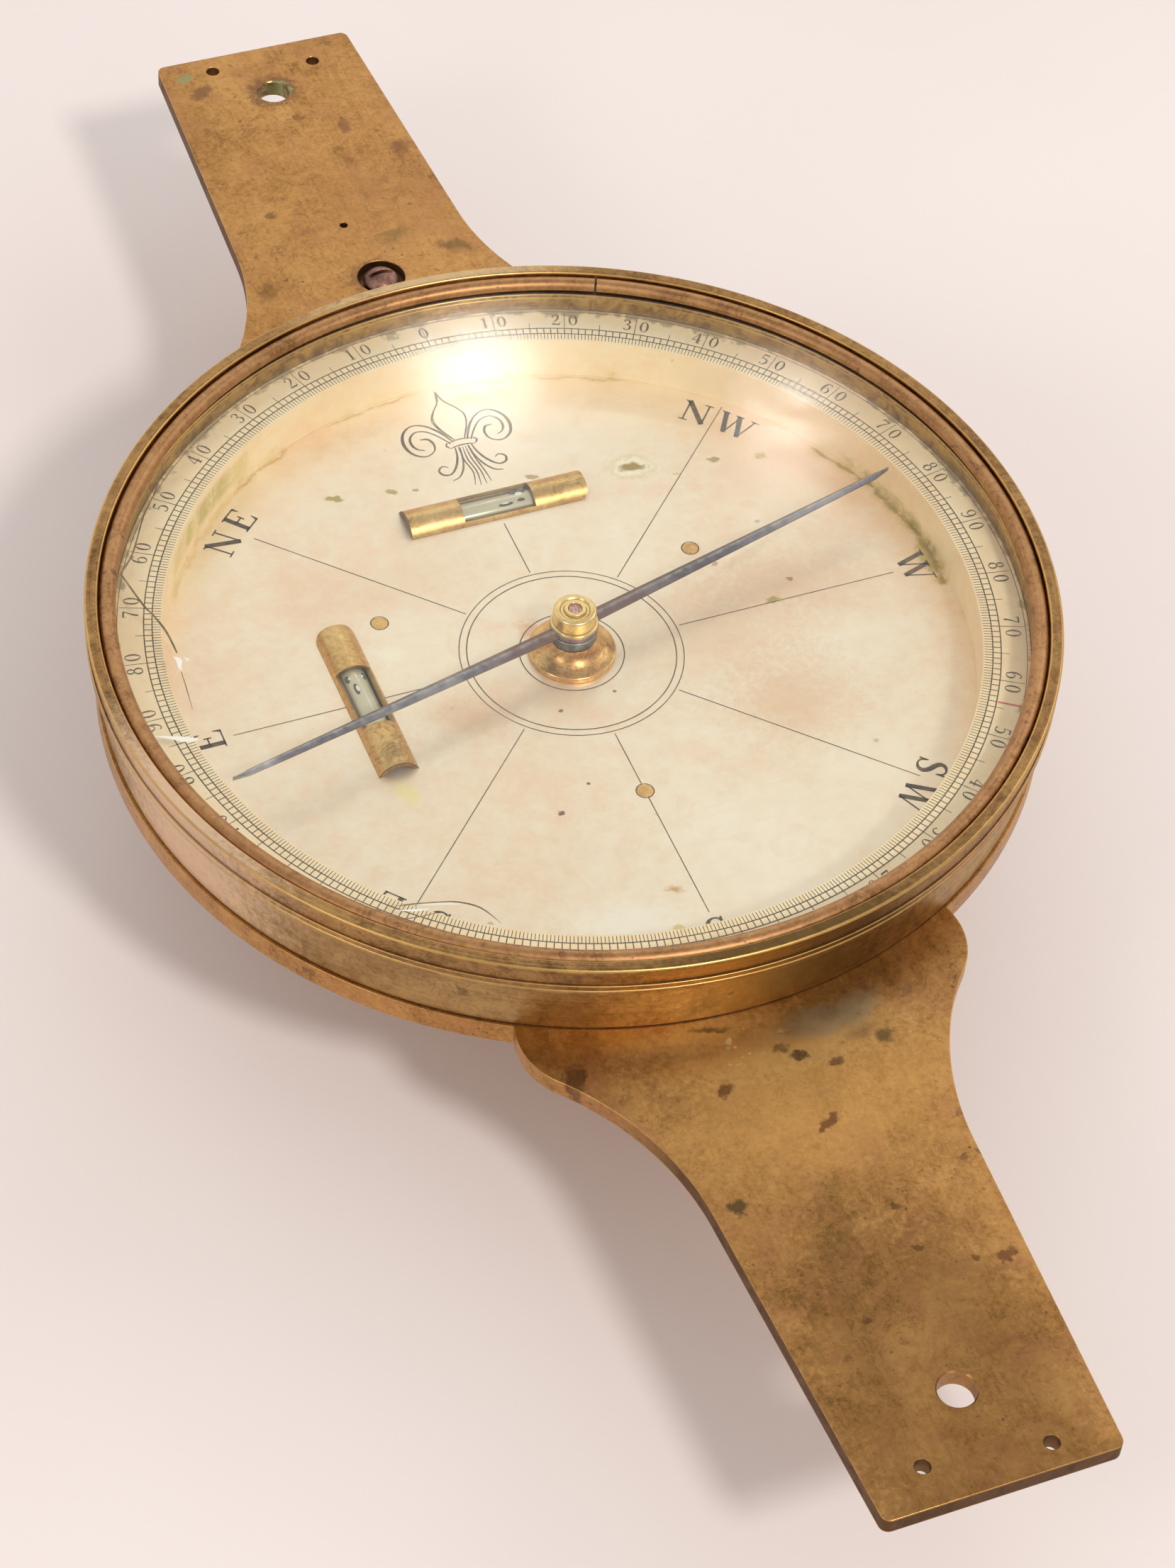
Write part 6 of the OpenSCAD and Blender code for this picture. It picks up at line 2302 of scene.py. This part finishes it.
@dataclass
class NeedleGear(Assembly):
    """The needle with its cap, stone and collar, its pivot, and the bell that lifts it."""

    rest: float = 13.9
    thick: float = 0.9
    mid_width: float = 2.5
    tip_width: float = 1.1
    point: float = 3.0
    eye: float = 4.05
    bend: float = 1.6

    def build(self) -> None:
        """Builds the pieces."""
        fin = self.fin
        turn = Matrix.Rotation(math.radians(self.rest), 4, "Z")
        blade = self.arm().join(self.arm().moved(Matrix.Rotation(math.pi, 4, "Z"))).moved(turn)
        blade.join(turned(((2.62, Z.needle, 0.05), (self.eye, Z.needle, 0.1), (self.eye, Z.cap_foot, 0.1),
                           (2.62, Z.cap_foot, 0.05)), 64))
        needle = blade.make("ridged_needle", fin.blued, crease=20.0)
        self.shop.seat(needle, Body.NEEDLE, Slot.BLUED_STEEL, "needle")
        top = Z.cap_top
        stone = turned(((0.0, top - 0.9, 0.0), (0.75, top - 1.5, 0.1), (1.1, top - 1.5, 0.1),
                        (1.1, top - 0.25, 0.25), (0.0, top - 0.02, 0.0)), 48, False)
        collar = turned(((1.62, Z.collar, 0.05), (3.6, Z.collar, 0.1), (3.9, Z.collar + 0.3, 0.2),
                         (3.9, Z.needle - 0.5, 0.2), (3.5, Z.needle - 0.3, 0.1), (3.5, Z.needle, 0.05),
                         (1.62, Z.needle, 0.05)), 72)
        for draft, name, finish, slot, node in (
                (self.cap(), "needle_cap_turned", fin.bright, Slot.BRIGHT_BRASS, "needle_cap"),
                (stone, "cap_stone_polished", fin.stone, Slot.JEWEL, "cap_jewel"),
                (collar, "needle_collar_turned", fin.steel, Slot.STEEL, "needle_collar")):
            self.piece(draft, name, finish, slot, node, body=Body.NEEDLE)
        self.piece(self.bell(), "lifter_bell", fin.copper, Slot.BRIGHT_BRASS, "lifter_sleeve",
                   body=Body.LIFTER)
        pins = turned(((0.0, 34.6, 0.0), (0.9, 34.6, 0.2), (0.9, 42.5, 0.1), (0.0, 42.5, 0.0)), 32, False)
        pair = self.shop.around("lifter_push_pins", pins, 2, R.push_pins, 0.0, 0.0, fin.steel)
        self.shop.seat(pair, Body.LIFTER, Slot.STEEL, "push_pins")
        post = turned(((0.0, Z.under, 0.0), (R.post, Z.under, 0.1), (R.post, 44.15, 0.1), (1.5, 45.15, 0.2),
                       (0.0, 45.15, 0.0)), 64, False)
        self.piece(post, "pivot_post_turned", fin.bright, Slot.BRIGHT_BRASS, "pivot_post")
        pin = turned(((0.0, 42.15, 0.0), (0.7, 42.15, 0.1), (0.7, 48.2, 0.3), (0.08, 51.04, 0.0),
                      (0.0, 51.05, 0.0)), 32, False)
        self.piece(pin, "pivot_point", fin.steel, Slot.STEEL, "pivot_pin")

    def arm(self) -> Draft:
        """Draws one arm of the needle along +X, bent up from the eye, with a ridge on top.

        Returns:
            The shape.
        """
        draft = Draft()
        neck = R.needle - self.point
        rows = []
        for along in (3.4, self.eye, 12.0, 24.0, 36.0, 48.0, 58.0, neck, neck + self.point * 0.6,
                      R.needle - 0.05):
            if along <= neck:
                half = (self.mid_width + (self.tip_width - self.mid_width) * along / neck) / 2
            else:
                half = self.tip_width / 2 * max(0.04, (R.needle - along) / self.point)
            low = Z.needle + self.bend * max(0.0, along - self.eye) / (R.needle - self.eye)
            side = self.thick * 0.42
            section = ((-half, 0.0, 0.0), (half, 0.0, 0.0), (half, side, 0.1), (0.0, self.thick, 0.6),
                       (-half, side, 0.1))
            rows.append([draft.point(along, y, low + z, wear) for y, z, wear in section])
        for first, second in zip(rows, rows[1:]):
            draft.bridge(first, second)
        draft.face(*rows[0], flat=True)
        draft.face(*reversed(rows[-1]), flat=True)
        return draft

    @staticmethod
    def cap() -> Draft:
        """Draws the turned cap: a spigot in the needle's eye, a banded drum and a crown round the stone."""
        top, foot = Z.cap_top, Z.cap_foot
        return turned((
            (1.62, Z.needle, 0.05), (2.58, Z.needle, 0.05), (2.58, foot, 0.0), (3.95, foot, 0.12),
            (3.95, foot + 0.4, 0.16), (3.6, foot + 0.55, 0.1), (3.6, top - 0.35, 0.5), (2.7, top - 0.2, 0.2),
            (2.4, top - 0.5, 0.15), (1.9, top - 0.5, 0.12), (1.75, top - 0.04, 0.12), (1.2, top - 0.04, 0.1),
            (1.13, top - 0.3, 0.05), (1.13, top - 1.52, 0.0), (1.62, top - 1.52, 0.0)), 96)

    @staticmethod
    def bell() -> Draft:
        """Draws the lifter's bell: a rimmed foot drawn in to a neck.

        Returns:
            The shape.
        """
        low = Z.dial + 0.05
        high = Z.collar - 0.1
        inside = R.post + 0.05
        hollow = [(x, z, 0.0) for x, z in arc(7.3, low + 4.8, 3.7, 262.0, 199.0, 14)]
        return turned((
            (inside, low, 0.05), (7.3, low, 0.15), (7.3, low + 1.02, 0.4), *hollow, (3.78, high, 0.1),
            (inside, high, 0.05)), 96)


@dataclass
class Underworks(Assembly):
    """What is under the plate: the lifter's screw and lever, the flange, the socket and its clamp screw."""

    edge: float = 0.22
    flange_screws: float = 21.5
    flange_face: float = 29.5

    def build(self) -> None:
        """Builds the pieces from the solids, with broken edges."""
        fin = self.fin
        brass, steel = Slot.PATINATED_BRASS, Slot.STEEL
        for node, name, edge, finish, body, slot in (
                ("lifter_screw", "lifter_screw_domed", 0.1, fin.screw, Body.LIFTER_SCREW, Slot.BROWNED_STEEL),
                ("lifter_lever", "lifter_lever_strip", 0.12, fin.under, Body.LIFTER_LEVER, brass),
                ("lever_pin", "lever_pin_rod", 0.08, fin.steel, Body.FRAME, steel),
                ("lever_bearings", "lever_bearing_pair", 0.18, fin.under, Body.FRAME, brass),
                ("bearing_screws", "bearing_screw_pair", 0.1, fin.steel, Body.FRAME, steel),
                ("socket_flange", "socket_flange_round", self.edge, fin.under, Body.FRAME, brass),
                ("staff_socket", "staff_socket_turned", self.edge, fin.under, Body.FRAME, brass),
                ("clamp_screw", "clamp_screw_milled", 0.15, fin.bright, Body.CLAMP_SCREW, Slot.BRIGHT_BRASS)):
            self.shop.seat(self.shop.softened(node, name, edge, finish), body, slot, node)
        heads = self.shop.around("flange_screws_flush", slotted_head(2.82, 1.6, 0.35), 4, self.flange_screws,
                                 45.0, self.flange_face, fin.steel)
        self.shop.seat(heads, Body.FRAME, steel, "flange_screws")


@dataclass
class Studio:
    """The floor, the lamps and the camera."""

    eye: tuple[float, float, float] = (-188.44, -408.065, 516.108)
    target: tuple[float, float, float] = (-7.764, -26.912, 40.3)
    roll: float = 5.061
    focal_pixels: float = 5584.98
    floor_half: float = 8000.0
    air_dim: float = 0.55
    air_bright: float = 1.0

    def build(self, finishes: Finishes) -> None:
        """Builds the floor, lights it and sets the camera.

        Args:
            finishes: The materials.
        """
        self.lay_floor(finishes.floor)
        self.set_camera()
        self.lamp("key_lamp", (346.0, -1714.0, 1964.0), (0.0, 0.0, 40.0), 0.36, 0.36, 26.0)
        self.lamp("side_lamp", (-1080.0, -430.0, 900.0), (0.0, 0.0, 40.0), 0.4, 0.4, 2.2)
        self.lamp("back_lamp", (1200.0, 200.0, 900.0), (0.0, 0.0, 40.0), 1.0, 1.0, 3.0)
        self.lamp("far_lamp", (355.0, 905.0, 901.0), (10.0, 50.0, 40.0), 0.056, 0.034, 0.1)
        self.lamp("far_lamp_right", (488.0, 831.0, 906.0), (50.0, 30.0, 40.0), 0.04, 0.026, 0.05)
        self.fill_air()
        bpy.context.scene.view_settings.view_transform = "Standard"

    def fill_air(self) -> None:
        """Fills the room with soft light: a bright sweep to the north, dimmer elsewhere."""
        world = bpy.data.worlds.new("studio_air")
        world.use_nodes = True
        nodes = Nodes(world.node_tree)
        way = nodes.add("ShaderNodeTexCoord", out="Generated")
        north = nodes.add("ShaderNodeSeparateXYZ", None, {0: way}, 1)
        glow = nodes.add("ShaderNodeMapRange", {"interpolation_type": "SMOOTHSTEP"}, {
            0: north, 1: 0.36, 2: 0.62, 3: self.air_dim, 4: self.air_bright})
        ground = world.node_tree.nodes["Background"]
        ground.inputs["Color"].default_value = (1.0, 0.975, 0.955, 1.0)
        world.node_tree.links.new(glow.socket, ground.inputs["Strength"])
        bpy.context.scene.world = world

    def lay_floor(self, material: bpy.types.Material) -> None:
        """Lays the floor that the socket's foot stands on.

        Args:
            material: Its material.
        """
        half = self.floor_half
        draft = Draft()
        draft.face(*draft.loop(((-half, -half), (half, -half), (half, half), (-half, half)), 0.0), flat=True)
        draft.make("studio_floor", material, False)

    def set_camera(self) -> None:
        """Sets the camera where the view was taken from."""
        data = bpy.data.cameras.new("view_camera")
        data.sensor_fit = "VERTICAL"
        data.sensor_height = 36.0
        data.lens = self.focal_pixels * data.sensor_height / PHOTO_HEIGHT
        data.clip_start = 0.01
        camera = bpy.data.objects.new("view_camera", data)
        eye = Vector(self.eye) * MM
        aim = Vector(self.target) * MM - eye
        turn = aim.to_track_quat("-Z", "Y") @ Quaternion((0.0, 0.0, 1.0), math.radians(self.roll))
        camera.matrix_world = Matrix.LocRotScale(eye, turn, None)
        bpy.context.scene.collection.objects.link(camera)
        bpy.context.scene.camera = camera

    @staticmethod
    def lamp(name: str, place: tuple[float, float, float], aim: tuple[float, float, float], wide: float,
             high: float, power: float) -> None:
        """Sets a soft lamp.

        Args:
            name: Its name.
            place: Where it hangs.
            aim: What it points at.
            wide: Its width in metres.
            high: Its height in metres.
            power: Its power in watts.
        """
        data = bpy.data.lights.new(name, "AREA")
        data.shape = "ELLIPSE"
        data.size = wide
        data.size_y = high
        data.energy = power
        data.color = (1.0, 0.97, 0.94)
        lamp = bpy.data.objects.new(name, data)
        spot = Vector(place) * MM
        lamp.matrix_world = Matrix.LocRotScale(spot, (Vector(aim) * MM - spot).to_track_quat("-Z", "Y"), None)
        bpy.context.scene.collection.objects.link(lamp)


def main() -> None:
    """Builds the compass and its studio."""
    logging.basicConfig(level=logging.INFO, format="%(name)s %(message)s")
    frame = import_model()
    finishes = Finishes()
    shop = Shop(frame, finishes)
    Studio().build(finishes)
    for kind in (Plate, CompassBox, Dial, Levels, NeedleGear, Underworks):
        kind(shop).build()
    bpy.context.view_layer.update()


if __name__ == "__main__":
    main()
